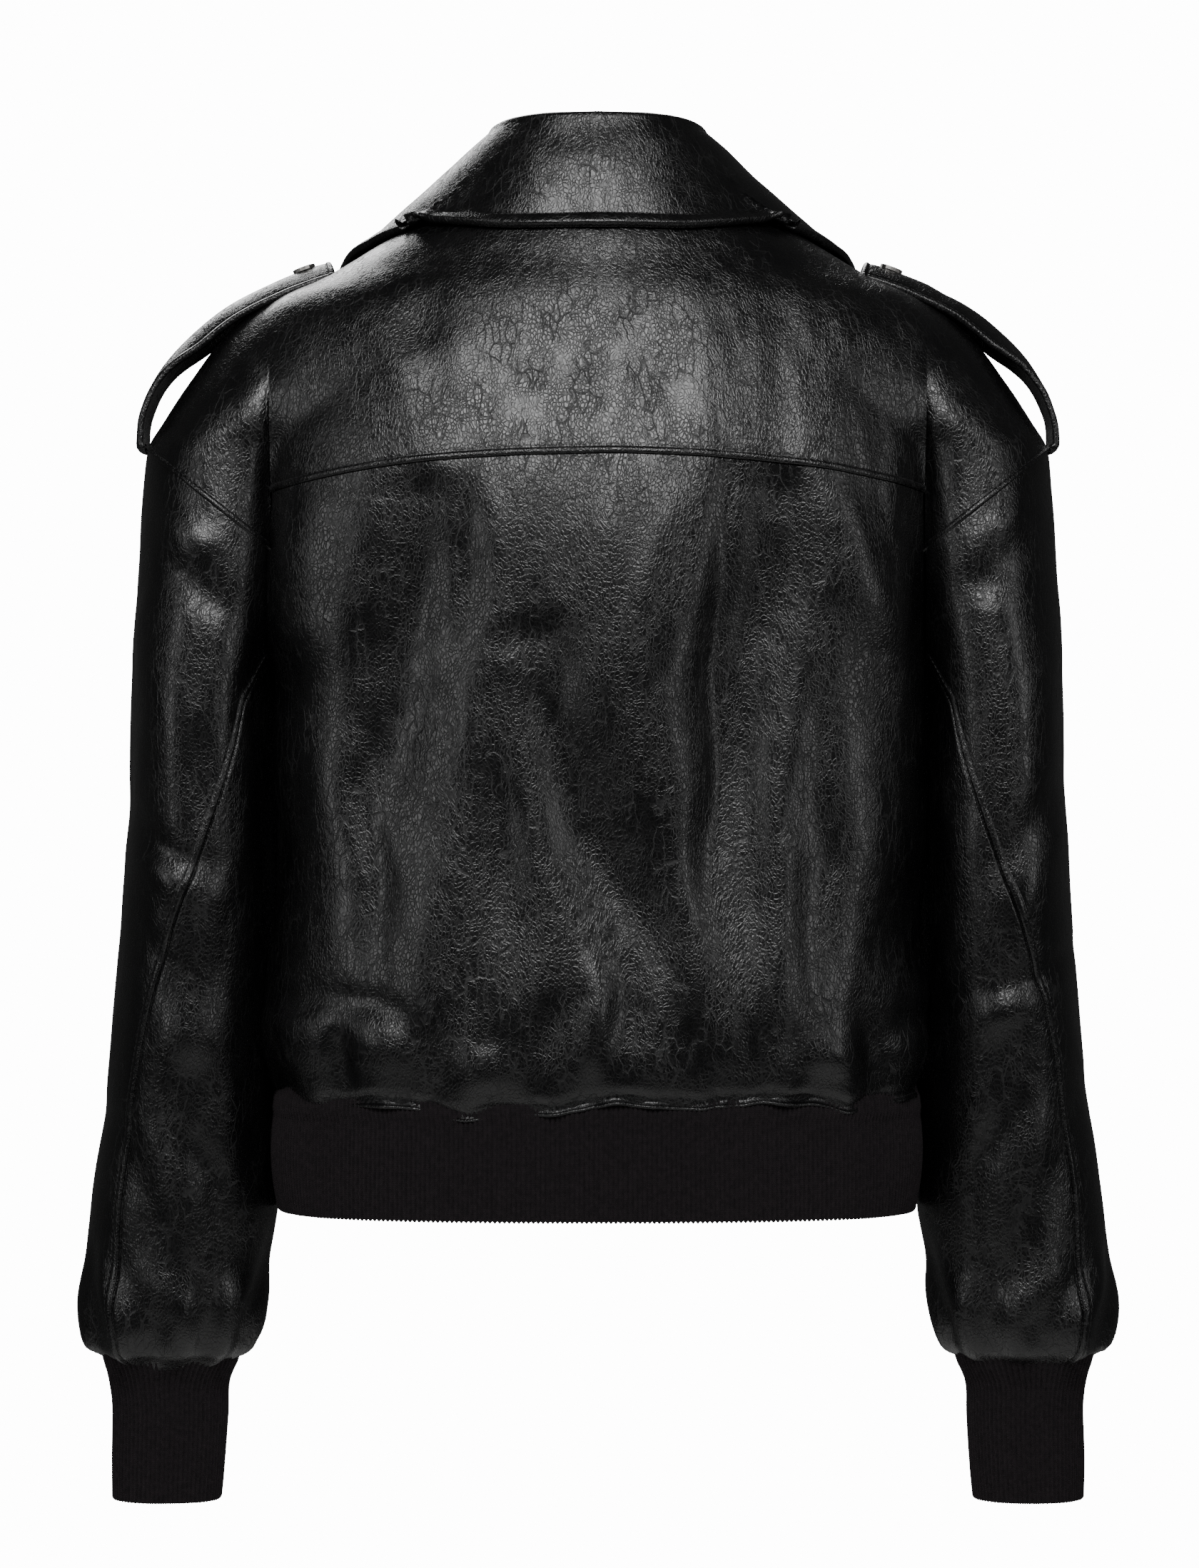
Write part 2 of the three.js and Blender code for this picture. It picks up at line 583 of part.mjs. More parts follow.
for (const [word, hand] of HANDS) {
  const span = (a, b) => [Math.min(hand * a, hand * b), Math.max(hand * a, hand * b)];
  add(`zip_tape_${word}`, block(...span(4.4, 16), -127.4, -126.6, ZIP_BOTTOM, ZIP_TOP), tapeCloth);
  add(`zip_teeth_${word}`, comb(hand), metal);
  add(`zip_stop_${word}`, block(...span(0.8, 4), -129.8, -126.8, -237, -234), metal);
}
add('zip_box', block(-5.5, 5.5, -130.4, -126, ZIP_BOTTOM - 10, ZIP_BOTTOM - 1), metal);

const wasm = await Module();
wasm.setup();

function solid(geometry) {
  const bare = geometry.clone();
  bare.deleteAttribute('normal');
  bare.deleteAttribute('uv');
  const merged = mergeVertices(bare);
  const vertProperties = new Float32Array(merged.attributes.position.array);
  const triVerts = new Uint32Array(merged.index.array);
  return new wasm.Manifold(new wasm.Mesh({ numProp: 3, vertProperties, triVerts }));
}

function geometryOf(manifold) {
  const { vertProperties, triVerts } = manifold.getMesh();
  return new THREE.BufferGeometry()
    .setAttribute('position', new THREE.BufferAttribute(vertProperties, 3))
    .setIndex([...triVerts]);
}

const rod = (radius, half, y, z) => new THREE.CylinderGeometry(radius, radius, 2 * half, 12)
  .rotateZ(Math.PI / 2)
  .translate(0, y, z);

const slider = solid(block(-5, 5, -133.5, -131.4, -252, -238))
  .add(solid(block(-6.2, -4.6, -133.5, -128.4, -250, -240)))
  .add(solid(block(4.6, 6.2, -133.5, -128.4, -250, -240)))
  .add(solid(block(-1.2, 1.2, -137.2, -133, PIN.z - 2, PIN.z + 2)))
  .subtract(solid(rod(PIN.radius + 0.35, 4, PIN.y, PIN.z)));
add('zip_slider', geometryOf(slider), metal);
add('puller_pin', rod(PIN.radius, 3.4, PIN.y, PIN.z), metal);

const puller = solid(block(-3.1, 3.1, -136.4, -134.8, -276, PIN.z + 1.8))
  .subtract(solid(block(-1.6, 1.6, -138, -133, PIN.z - 4.2, PIN.z + 4)))
  .subtract(solid(block(-1.4, 1.4, -138, -133, -271, -262)));
const ears = solid(block(-3.1, -1.6, -137.1, -134.1, PIN.z - 2, PIN.z + 1.5))
  .add(solid(block(1.6, 3.1, -137.1, -134.1, PIN.z - 2, PIN.z + 1.5)));
const hung = puller.add(ears).subtract(solid(rod(PIN.radius + 0.35, 5, PIN.y, PIN.z)));
add('zip_puller', geometryOf(hung), metal);

export default jacket;
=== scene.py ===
"""A cropped black leather riding jacket, hung on nothing: leather panels, ribbed knit, zip and studs.

Lengths in this script are millimetres on the jacket's own body frame, whose mid plane runs through the
shoulders: x to the wearer's left, y to the back, z up from the neck seam. place() turns them into the
metres of the shared frame."""
import math

import bpy
import numpy as np
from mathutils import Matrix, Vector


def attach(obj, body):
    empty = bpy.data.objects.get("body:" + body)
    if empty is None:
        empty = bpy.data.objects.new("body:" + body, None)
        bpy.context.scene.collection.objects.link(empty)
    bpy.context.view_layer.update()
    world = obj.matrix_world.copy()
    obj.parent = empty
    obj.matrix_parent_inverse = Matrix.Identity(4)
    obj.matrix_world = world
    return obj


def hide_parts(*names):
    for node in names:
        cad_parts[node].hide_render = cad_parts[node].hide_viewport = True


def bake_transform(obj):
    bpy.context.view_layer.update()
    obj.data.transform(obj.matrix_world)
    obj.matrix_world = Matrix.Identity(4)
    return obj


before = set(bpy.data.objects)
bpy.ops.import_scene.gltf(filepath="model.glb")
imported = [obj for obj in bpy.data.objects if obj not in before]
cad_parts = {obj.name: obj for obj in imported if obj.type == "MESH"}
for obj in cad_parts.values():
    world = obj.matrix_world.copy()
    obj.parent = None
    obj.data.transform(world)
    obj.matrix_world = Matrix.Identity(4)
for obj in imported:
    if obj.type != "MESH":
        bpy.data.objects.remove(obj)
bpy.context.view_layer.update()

MM = 0.001
NECK_DEPTH = 54.0  # from the body's mid plane back to the hanging loop
HEM, WAIST_END = -510.0, -573.0
ARMPIT = -300.0
SLEEVE_END, CUFF_END = -660.0, -738.0
SHOULDER_X, SHOULDER_Z = 252.0, -150.0
ARMHOLE_SLOPE = 0.817
FOLD_X, FOLD_TOP, FOLD_LOW = 180.0, -176.0, -208.0
YOKE_CENTRE = -158.0
BREAK = -245.0  # top of the closed zip
FRONT_EDGE = 7.0  # leather edge to centre line
HANDS = (("left", 1), ("right", -1))
LEATHER_WALL = 1.6
TAB_WIDTH = 36.0
STRAP_WIDTH = 46.0
RIDGE_GAP = 0.02  # keeps the back's top edge just under the shoulder ridge
SEAM_GAP = 0.3  # between two panels that meet at a seam
FRONT_TOP = -4.0
CORE_TOP = -120.0
COLLAR_SEWN, FRONT_SEWN, HEM_SEWN = 7.0, 6.0, 3.6  # sewn rows, from their edge
POCKET_TOP, POCKET_BAG_DEPTH = -392.0, 100.0
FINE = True


# ---------- profiles of the worn shape ----------
def profile(rows):
    """Rows of height, value, value ... from the top down, joined smoothly."""
    table = np.array(rows, float)[::-1]
    h, v = table[:, 0], table[:, 1:]
    before = np.maximum(np.arange(len(h)) - 1, 0)
    after = np.minimum(np.arange(len(h)) + 1, len(h) - 1)
    slope = (v[after] - v[before]) / (h[after] - h[before])[:, None]

    def value(z, k=0):
        z = np.clip(z, h[0], h[-1])
        i = np.clip(np.searchsorted(h, z) - 1, 0, len(h) - 2)
        span = h[i + 1] - h[i]
        t = (z - h[i]) / span
        return ((2 * t**3 - 3 * t**2 + 1) * v[i, k] + (t**3 - 2 * t**2 + t) * span * slope[i, k]
                + (3 * t**2 - 2 * t**3) * v[i + 1, k] + (t**3 - t**2) * span * slope[i + 1, k])

    return value


# height, half width, back depth, front depth, squareness
torso = profile([
    [0, 74, 62, 60, 2.0], [-10, 80, 66, 66, 2.0], [-20, 95, 70, 74, 2.05], [-32, 118, 76, 82, 2.1],
    [-50, 148, 82, 91, 2.15], [-64, 176, 87, 98, 2.25], [-78, 188, 91, 105, 2.4], [-105, 190, 98, 115, 2.7],
    [-150, 190, 108, 126, 3.0], [-208, 187, 115, 130, 3.0], [-300, 181, 118, 130, 2.85],
    [-400, 181, 118, 130, 2.7], [-480, 184, 120, 130, 2.6], [-510, 180, 113, 130, 2.6],
    [-520, 177, 109, 127, 2.6], [-573, 178, 111, 127, 2.6],
])
# height, outer edge, inner edge, half depth, mid depth
arm = profile([
    [-50, 142, 10, 40, 0], [-65, 181, 12, 54, 0], [-84, 207, 20, 63, 0], [-111, 228, 58, 68, 0],
    [-134, 243, 112, 68, 0], [-150, 252, 148, 68, -2], [-208, 257, 165, 75, -5], [-300, 261, 182.5, 80, -8],
    [-400, 266, 183.5, 78, -12], [-500, 275, 184.5, 69, -16], [-578, 284.5, 184.5, 61, -18],
    [-630, 288.5, 189.5, 56, -18], [-650, 285, 195.5, 50, -18], [-660, 278, 203, 40, -18],
    [-672, 274.5, 209, 31, -18], [-690, 272.5, 210, 29, -18], [-738, 273, 212, 29, -18],
])
softness = profile([[-50, 1], [-65, 20], [-84, 26], [-111, 22], [-150, 11], [-208, 4], [-228, 1]])
neck_edge = profile([[-4, 68], [-10, 66], [-20, 63], [-50, 52], [-120, 33], [-190, 17], [-238, 8],
                     [BREAK, FRONT_EDGE]])
back_seam = profile([[0, 158], [-0.03, 150], [-0.256, 120], [-0.42, 92], [-0.557, 70],
                     [-0.65, 60], [-0.747, 55], [-0.844, 56], [-1, 61]])
FRONT_SEAM = -95.0
ARM_SQUARENESS = 2.2


def mix(a, b, t):
    return a + (b - a) * t


def smooth(t):
    t = np.clip(t, 0, 1)
    return t * t * (3 - 2 * t)


def super_depth(share, n):
    return (1 - np.minimum(1, np.abs(share)) ** n) ** (1 / n)


def torso_depth(x, z, side):
    half = torso(z, 0)
    depth = np.where(side > 0, torso(z, 1), torso(z, 2))
    return np.where(x < half, depth * super_depth(x / half, torso(z, 3)), -2 * (x - half))


def arm_depth(x, z, side):
    centre, half = (arm(z, 0) + arm(z, 1)) / 2, (arm(z, 0) - arm(z, 1)) / 2
    share = np.abs(x - centre) / half
    mid = side * arm(z, 3)
    return np.where(share < 1, mid + arm(z, 2) * super_depth(share, ARM_SQUARENESS),
                    mid - 2 * half * (share - 1))


def body_depth(x, z, side):
    a, b, soft = torso_depth(x, z, side), arm_depth(x, z, side), softness(z)
    h = np.clip(0.5 + 0.5 * (a - b) / soft, 0, 1)
    joined = b + (a - b) * h + soft * h * (1 - h)
    return np.where((z > -50) | (z < -228), a, joined)


def solve(low, high, below):
    """Where below(value) turns from true to false between low and high, for arrays."""
    low, high = np.broadcast_arrays(np.array(low, float), np.array(high, float))
    low, high = low.copy(), high.copy()
    for _ in range(32):
        mid = (low + high) / 2
        yes = below(mid)
        low, high = np.where(yes, mid, low), np.where(yes, high, mid)
    return low


def crease_line(side):
    """Where the sleeve leaves the torso, as a table of height and x."""
    z = np.linspace(ARMPIT, -100, 500)
    half = torso(z, 0)
    found = solve(np.full_like(z, 120.0), half, lambda x: torso_depth(x, z, side) > arm_depth(x, z, side))
    return z, np.where(arm_depth(half, z, side) < 0.5, half, found)


CREASE = {side: crease_line(side) for side in (-1, 1)}


def crease_x(z, side):
    return np.where(z < ARMPIT, torso(z, 0), np.interp(z, *CREASE[side]))


def outer_x(z, side):
    shoulder = np.where(z > -50, torso(z, 0), np.maximum(torso(z, 0), arm(z, 0)))
    armhole = SHOULDER_X - (SHOULDER_Z - z) / ARMHOLE_SLOPE
    below = np.where(z > ARMPIT, crease_x(z, side), torso(z, 0))
    return np.where(z > SHOULDER_Z, shoulder, np.where(z > FOLD_LOW, armhole, below))


def ridge_line():
    """Height of the shoulder's ridge, and of the neckline inside it, as a table of x and height."""
    x = np.linspace(74, SHOULDER_X, 1500)
    return x, solve(np.full_like(x, SHOULDER_Z), np.zeros_like(x), lambda z: outer_x(z, 1) > x)


RIDGE = ridge_line()


def ridge_z(x):
    return np.interp(x, *RIDGE)


def yoke_seam(x):
    return mix(YOKE_CENTRE, FOLD_TOP, np.minimum(1, np.abs(x) / FOLD_X) ** 2.4)


def armhole_seam(x):
    return SHOULDER_Z - ARMHOLE_SLOPE * (SHOULDER_X - x)


def on_body(x, z, side):
    x, z = np.broadcast_arrays(x, z)
    depth = np.maximum(body_depth(np.abs(x), z, side), 0)
    return np.stack([x, side * depth, z], axis=-1)


def on_arm(angle, z):
    centre, half = (arm(z, 0) + arm(z, 1)) / 2, (arm(z, 0) - arm(z, 1)) / 2
    c, s = np.cos(angle), np.sin(angle)
    power = 2 / ARM_SQUARENESS
    x = centre + half * np.sign(c) * np.abs(c) ** power
    y = arm(z, 3) + arm(z, 2) * np.sign(s) * np.abs(s) ** power
    return np.stack(np.broadcast_arrays(x, y, z), axis=-1)


def armhole_line():
    """Height where the sleeve starts at each angle: the armhole seam, or where the arm leaves the torso."""
    angle = np.linspace(-math.pi, math.pi, 1441)

    def outside(z):
        p = on_arm(angle, z)
        depth = np.where(p[..., 1] > 0, torso(z, 1), torso(z, 2))
        n = torso(z, 3)
        clear = (np.abs(p[..., 0]) / torso(z, 0)) ** n + (np.abs(p[..., 1]) / depth) ** n > 1
        return (z < armhole_seam(p[..., 0])) & clear

    return angle, solve(np.full_like(angle, ARMPIT - 15), np.full_like(angle, SHOULDER_Z + 10), outside)


ARMHOLE = armhole_line()


def sleeve_top(angle):
    return np.interp((angle + math.pi) % (2 * math.pi) - math.pi, *ARMHOLE)


# ---------- seeded smooth noise ----------
def noise(x, y, scale, seed):
    """Smooth noise from -1 to 1 whose bumps are about scale apart."""
    table = np.random.default_rng(seed).uniform(-1, 1, (64, 64))
    gx, gy = x / scale, y / scale
    ix, iy = np.floor(gx).astype(int), np.floor(gy).astype(int)
    tx, ty = smooth(gx - ix), smooth(gy - iy)
    pick = lambda a, b: table[(ix + a) % 64, (iy + b) % 64]
    return mix(mix(pick(0, 0), pick(1, 0), tx), mix(pick(0, 1), pick(1, 1), tx), ty)


# ---------- surfaces as grids of points: rows run along axis 0, columns along axis 1 ----------
def lengths(P, axis):
    step = np.linalg.norm(np.diff(P, axis=axis), axis=2)
    pad = [(0, 0), (0, 0)]
    pad[axis] = (1, 0)
    return np.pad(np.cumsum(step, axis=axis), pad)


def laid_out(P, axis, start, end, step):
    """Spaces each line of the grid evenly, with extra points at set distances from both of its ends."""
    lines = P if axis == 1 else P.swapaxes(0, 1)
    run = lengths(lines, 1)
    start, end = np.array(start, float), np.array(end, float)
    inner = max(3, round((run[:, -1].mean() - start[-1] - end[-1]) / step))
    share = np.linspace(0, 1, inner + 1)[1:-1]
    out = []
    for line, s in zip(lines, run):
        fit = min(1, 0.45 * s[-1] / max(start[-1], end[-1], 1e-6))
        a, b = start * fit, end * fit
        where = np.concatenate([a, a[-1] + share * (s[-1] - a[-1] - b[-1]), s[-1] - b[::-1]])
        out.append(np.stack([np.interp(where, s, line[:, k]) for k in range(3)], axis=1))
    out = np.array(out)
    return out if axis == 1 else out.swapaxes(0, 1)


def normals(P, core, closed=False):
    if closed:
        wide = np.concatenate([P[:, -1:], P, P[:, :1]], axis=1)
        du = wide[:, 2:] - wide[:, :-2]
    else:
        du = np.gradient(P, axis=1)
    n = np.cross(du, np.gradient(P, axis=0))
    n /= np.linalg.norm(n, axis=2, keepdims=True) + 1e-12
    return n if np.sum(n * (P - core)) > 0 else -n


ROLL = 1.7  # how far a seamed edge turns under
TURN_STEPS = [0, 0.25, 0.6, 1.1, 1.7, 2.8]
PLAIN = [0]


def sewn(distance):
    """Distances from an edge at which the surface needs points: the turned edge and the sewn row."""
    return TURN_STEPS + [distance + step for step in (-0.9, -0.4, 0, 0.4, 1, 2.4)]


def edge_relief(d, row, welt, roll):
    """Height of the leather at distance d from an edge that turns under and is sewn down at row."""
    turn = roll * (np.sqrt(1 - (1 - np.clip(d / roll, 0, 1)) ** 2) - 1)
    if row is None:
        return turn
    raised = welt * smooth(d / 1.6) * (1 - smooth((d - row + 0.6) / 1.4))
    return turn + raised - 0.4 * np.exp(-(((d - row) / 0.7) ** 2))


# ---------- meshes ----------
def place(P):
    return (np.asarray(P).reshape(-1, 3) - [0, NECK_DEPTH, 0]) * MM


def mesh_object(name, P, faces, material):
    mesh = bpy.data.meshes.new(name)
    mesh.from_pydata(place(P).tolist(), [], faces.tolist() if hasattr(faces, "tolist") else faces)
    mesh.polygons.foreach_set("use_smooth", np.ones(len(mesh.polygons), bool))
    mesh.materials.append(material)
    mesh.update()
    obj = bpy.data.objects.new(name, mesh)
    bpy.context.scene.collection.objects.link(obj)
    return obj


def facing_out(P, quads):
    a, b, c, d = (P[quads[:, i]] for i in range(4))
    inside = np.sum(np.cross(b, c) * a) + np.sum(np.cross(c, d) * a)
    return quads if inside > 0 else quads[:, ::-1]


def wall_faces(rows, cols, closed):
    spans = cols if closed else cols - 1
    i, j = np.meshgrid(np.arange(spans), np.arange(rows - 1))
    n = rows * cols
    at = lambda i, j: j * cols + i % cols
    skin = np.stack([at(i, j), at(i + 1, j), at(i + 1, j + 1), at(i, j + 1)], axis=-1).reshape(-1, 4)
    k = np.arange(spans)
    parts = [skin, n + skin[:, ::-1]]
    low, high = at(k, 0), at(k + 1, 0)
    parts.append(np.stack([n + low, n + high, high, low], axis=-1))
    low, high = at(k, rows - 1), at(k + 1, rows - 1)
    parts.append(np.stack([low, high, n + high, n + low], axis=-1))
    if not closed:
        k = np.arange(rows - 1)
        low, high = at(0, k), at(0, k + 1)
        parts.append(np.stack([low, high, n + high, n + low], axis=-1))
        low, high = at(cols - 1, k), at(cols - 1, k + 1)
        parts.append(np.stack([n + low, n + high, high, low], axis=-1))
    return np.concatenate(parts)


def wall(name, outer, inner, material, closed=False, raw=(False,) * 4):
    """A closed wall between two grids of points with the same layout. Raw edges, which meet a neighbour
    flush, keep the surface's own shading; raw is in the order of a panel's edges."""
    P = np.concatenate([outer.reshape(-1, 3), inner.reshape(-1, 3)])
    rows, cols = outer.shape[:2]
    quads = facing_out(P - P.mean(axis=0), wall_faces(rows, cols, closed))
    obj = mesh_object(name, P, quads, material)
    rim = np.zeros((rows, cols), bool)
    rim[0], rim[-1] = raw[0], raw[1]
    if not closed:
        rim[:, 0] |= raw[2]
        rim[:, -1] |= raw[3]
    rim = np.concatenate([rim.ravel(), np.zeros(rows * cols, bool)])
    ends = np.empty(len(obj.data.edges) * 2, np.int32)
    obj.data.edges.foreach_get("vertices", ends)
    sharp = obj.data.attributes.new("sharp_edge", "BOOLEAN", "EDGE")
    sharp.data.foreach_set("value", rim[ends.reshape(-1, 2)].all(axis=1))
    return obj


# How a piece of leather is finished along its four edges, in the order first row, last row, first
# column, last column. Each is None for a raw edge that is covered, "turned", or a distance to its sewn row.
def edge_steps(finish):
    if finish is None:
        return PLAIN
    return TURN_STEPS if finish == "turned" else sewn(finish)


sewn_rows = {}  # body -> [(points, normals)]


def panel(name, P, core, material, body, nodes, edges, slot="leather", relief=None, step=3.0,
          thickness=LEATHER_WALL, welt=0.7, roll=ROLL, lift=0.0, pucker=None, closed=False):
    """One panel of the jacket from a fine grid of points on its resting surface."""
    if not FINE:
        step *= 2.5
    P = laid_out(P, 1, *((PLAIN, PLAIN) if closed else (edge_steps(edges[2]), edge_steps(edges[3]))), step)
    P = laid_out(P, 0, edge_steps(edges[0]), edge_steps(edges[1]), step)
    if closed:
        P = P[:, :-1]
    N = normals(P, core(P), closed)
    rows, cols = lengths(P, 0), lengths(P, 1)
    far = [rows, rows[-1:] - rows, cols, cols[:, -1:] - cols]
    if relief is not None:
        P = P + N * relief(P)[..., None]
        N = normals(P, core(P), closed)
    height = np.full(P.shape[:2], float(lift))
    for finish, d in zip(edges, far):
        if finish is not None:
            height += edge_relief(d, None if finish == "turned" else finish, welt, roll)
    if pucker is not None:
        height += pucker(P, far)
    skin = P + N * height[..., None]
    depth = thickness(far) if callable(thickness) else thickness
    raw = tuple(finish is None for finish in edges)
    obj = wall(name, skin, P + N * (lift - depth * np.ones_like(height))[..., None], material, closed, raw)
    for k, (finish, d) in enumerate(zip(edges, far)):
        if isinstance(finish, (int, float)):
            line = np.argmin(np.abs(d.mean(axis=1 if k < 2 else 0) - finish))
            pick = (lambda G: G[line]) if k < 2 else (lambda G: G[:, line])
            trim = slice(2, -2)
            sewn_rows.setdefault(body, []).append((pick(skin)[trim], pick(N)[trim]))
    settle(obj, body, nodes)
    return obj


def settle(obj, body, nodes=()):
    """Puts a finished piece on its body in place of the CAD nodes that it stands for; a sleeve piece only has
    its placement baked.
    """
    if body.startswith("sleeve"):
        swing(obj)
    else:
        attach(obj, body)
    if nodes:
        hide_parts(*nodes)


def swing(obj):
    """Bakes a sleeve piece's placement into its mesh; the piece is not put on a body."""
    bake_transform(obj)


# ---------- folds of the worn leather: points x, z along the line, width, height ----------
BACK_FOLDS = [
    ([(98, -160), (100, -210), (106, -280), (106, -350), (108, -430)], 28, -15.0),
    ([(70, -166), (72, -220), (80, -290)], 9, -3.6),
    ([(38, -240), (28, -290), (6, -360), (-22, -420), (-46, -470)], 22, -12.0),
    ([(64, -300), (54, -264), (36, -250), (17, -262), (-6, -312)], 14, -1.4),
    ([(62, -270), (58, -330), (52, -400), (50, -460)], 14, -5.0),
    ([(-99, -158), (-92, -215), (-80, -290), (-74, -370), (-80, -470)], 29, -17.0),
    ([(-70, -156), (-66, -230), (-62, -330), (-64, -440)], 8, -4.0),
    ([(-124, -226), (-126, -320), (-121, -400), (-118, -490)], 10, -3.0),
    ([(8, -100), (-6, -180), (-22, -262), (-36, -330)], 30, 3.6),
    ([(150, -168), (168, -205), (168, -290)], 18, 4.6),
    ([(88, -300), (94, -370), (94, -440), (86, -500)], 20, 3.8),
    ([(-112, -160), (-140, -200), (-164, -260), (-168, -350)], 14, 4.8),
    ([(-99, -300), (-99, -400), (-97, -470), (-94, -512)], 10, 4.6),
    ([(-34, -280), (-44, -370), (-54, -440), (-56, -505)], 11, 2.6),
    ([(-150, -300), (-148, -380), (-140, -470)], 16, 2.8),
    ([(150, -300), (148, -380), (148, -440)], 18, 2.4),
    ([(132, -320), (124, -400), (118, -450)], 9, -3.4),
    ([(4, -424), (-1, -452), (3, -492), (8, -512)], 8, 4.6),
    ([(-14, -420), (-17, -466), (-20, -511)], 9, -3.4),
    ([(26, -446), (34, -496), (42, -511)], 11, -3.4),
    ([(166, -446), (164, -498)], 21, 4.0),
    ([(122, -450), (120, -500)], 17, 2.8),
    ([(178, -448), (150, -446), (122, -452), (98, -472), (84, -508)], 10, -2.6),
    ([(144, -462), (141, -510)], 6, -4.0),
    ([(62, -470), (56, -508)], 14, 3.4),
    ([(-82, -460), (-84, -510)], 8, -3.4),
    ([(-122, -468), (-126, -500)], 13, 3.6),
    ([(-146, -456), (-152, -508)], 8, -3.4),
    ([(-172, -464), (-175, -500)], 13, 4.4),
    ([(120, -95), (70, -60)], 16, -2.0),
    ([(-118, -92), (-72, -60)], 16, -2.0),
]
FRONT_FOLDS = [
    ([(150, -190), (120, -260), (100, -330)], 16, -3.4),
    ([(-152, -200), (-118, -268), (-96, -338)], 16, -3.4),
    ([(96, -200), (84, -280), (90, -350)], 15, 3.0),
    ([(-90, -190), (-78, -280), (-88, -360)], 15, 3.0),
    ([(140, -300), (132, -380), (140, -450)], 18, 3.0),
    ([(-142, -310), (-130, -390), (-142, -455)], 18, 3.0),
    ([(60, -450), (56, -488)], 15, 3.6),
    ([(-58, -446), (-54, -486)], 15, 3.6),
    ([(92, -462), (88, -508)], 8, -3.6),
    ([(-88, -460), (-92, -508)], 8, -3.6),
    ([(124, -462), (122, -494)], 17, 4.0),
    ([(-126, -462), (-122, -492)], 17, 4.0),
    ([(154, -458), (150, -508)], 8, -3.6),
    ([(-152, -460), (-154, -508)], 8, -3.6),
]
SLEEVE_FOLDS = [
    ([(238, -168), (222, -196), (200, -214)], 12, 3.4),
    ([(236, -206), (214, -232), (190, -244)], 10, -2.8),
    ([(254, -230), (240, -290), (236, -340)], 16, 2.4),
    ([(262, -330), (232, -372), (200, -392)], 10, -3.0),
    ([(258, -356), (228, -402), (204, -420)], 12, 2.6),
    ([(270, -418), (238, -446), (200, -452)], 9, -2.4),
    ([(246, -452), (214, -474), (196, -482)], 14, 3.4),
    ([(278, -500), (252, -560), (240, -612)], 12, -3.0),
    ([(262, -520), (230, -566), (214, -616)], 15, 2.8),
    ([(232, -520), (206, -560), (200, -600)], 9, -2.4),
]


def strokes(x, z, lines):
    """Summed height of soft ridges and valleys, which start quickly at their top and die away downwards."""
    total = np.zeros(x.shape)
    for points, width, height in lines:
        Q = np.array(points, float)
        spans = np.linalg.norm(np.diff(Q, axis=0), axis=1)
        length = spans.sum()
        along = np.concatenate([[0], np.cumsum(spans)]) / length
        near = np.full(x.shape, np.inf)
        share = np.zeros(x.shape)
        for i, d in enumerate(np.diff(Q, axis=0)):
            t = np.clip(((x - Q[i, 0]) * d[0] + (z - Q[i, 1]) * d[1]) / (d @ d), 0, 1)
            away = np.hypot(x - Q[i, 0] - t * d[0], z - Q[i, 1] - t * d[1])
            share = np.where(away < near, along[i] + t * (along[i + 1] - along[i]), share)
            near = np.minimum(away, near)
        run = share * length
        start = 0.3 * smooth((run + 6) / 26) + 0.7 * smooth(run / min(105, 0.45 * length))
        ends = start * (0.1 + 0.9 * smooth((1 - share) / 0.5))
        total += height * ends * np.exp(-((near / (width * (0.85 + 0.3 * share))) ** 2))
    return total


def crumple(x, z, seed):
    """Small uneven waves of soft leather, much longer down than across."""
    x2, z2 = x + 10 * noise(x, z, 60, seed), z + 12 * noise(x, z, 60, seed + 1)
    return (1.3 * noise(x2, z2 * 0.36, 40, seed + 2) + 0.62 * noise(x2 + z2 * 0.22, z2 * 0.3, 17, seed + 3)
            + 0.24 * noise(x2 - z2 * 0.12, z2 * 0.26, 7.5, seed + 4))


def body_relief(P):
    x, y, z = P[..., 0], P[..., 1], P[..., 2]
    back = smooth((y + 15) / 45)
    wx = x + 5 * noise(x, z, 55, 3)
    wz = z + 6 * noise(x, z, 55, 4)
    drawn = back * strokes(wx, wz, BACK_FOLDS) + (1 - back) * strokes(wx, wz, FRONT_FOLDS)
    round_body = np.abs(x) + np.sign(y) * (120 - np.abs(y)) * 0.6
    side = smooth((np.abs(x) - 120) / 60) * smooth((-225 - z) / 50) * 1.8
    side = side * np.sin(z / 19 + 2 * noise(x, z, 60, 9))
    waves = smooth((-455 - z) / 40) * 1.6 * np.sin(round_body * np.sign(x) / 9.5 + 3 * noise(x, z, 90, 11))
    calm = smooth((np.abs(z + 30) - 4) / 60)
    zip_calm = np.where(y < 0, smooth((np.abs(x) - 12) / 30), 1)
    armhole = smooth((z - armhole_seam(np.abs(x))) / 22)
    joined = np.where((np.abs(x) > 176) & (z > FOLD_LOW), armhole, 1)
    pocket = 1 - (y < 0) * np.exp(-(((np.abs(x) - 80) / 48) ** 4) - ((z + 412) / 40) ** 4)
    strap = np.where(z > SHOULDER_Z, mix(1, smooth((np.abs(y) - 20) / 25), smooth((np.abs(x) - 130) / 15)), 1)
    return (drawn + side + waves + crumple(x + y * 0.5, z, 21)) * calm * zip_calm * joined * pocket * strap


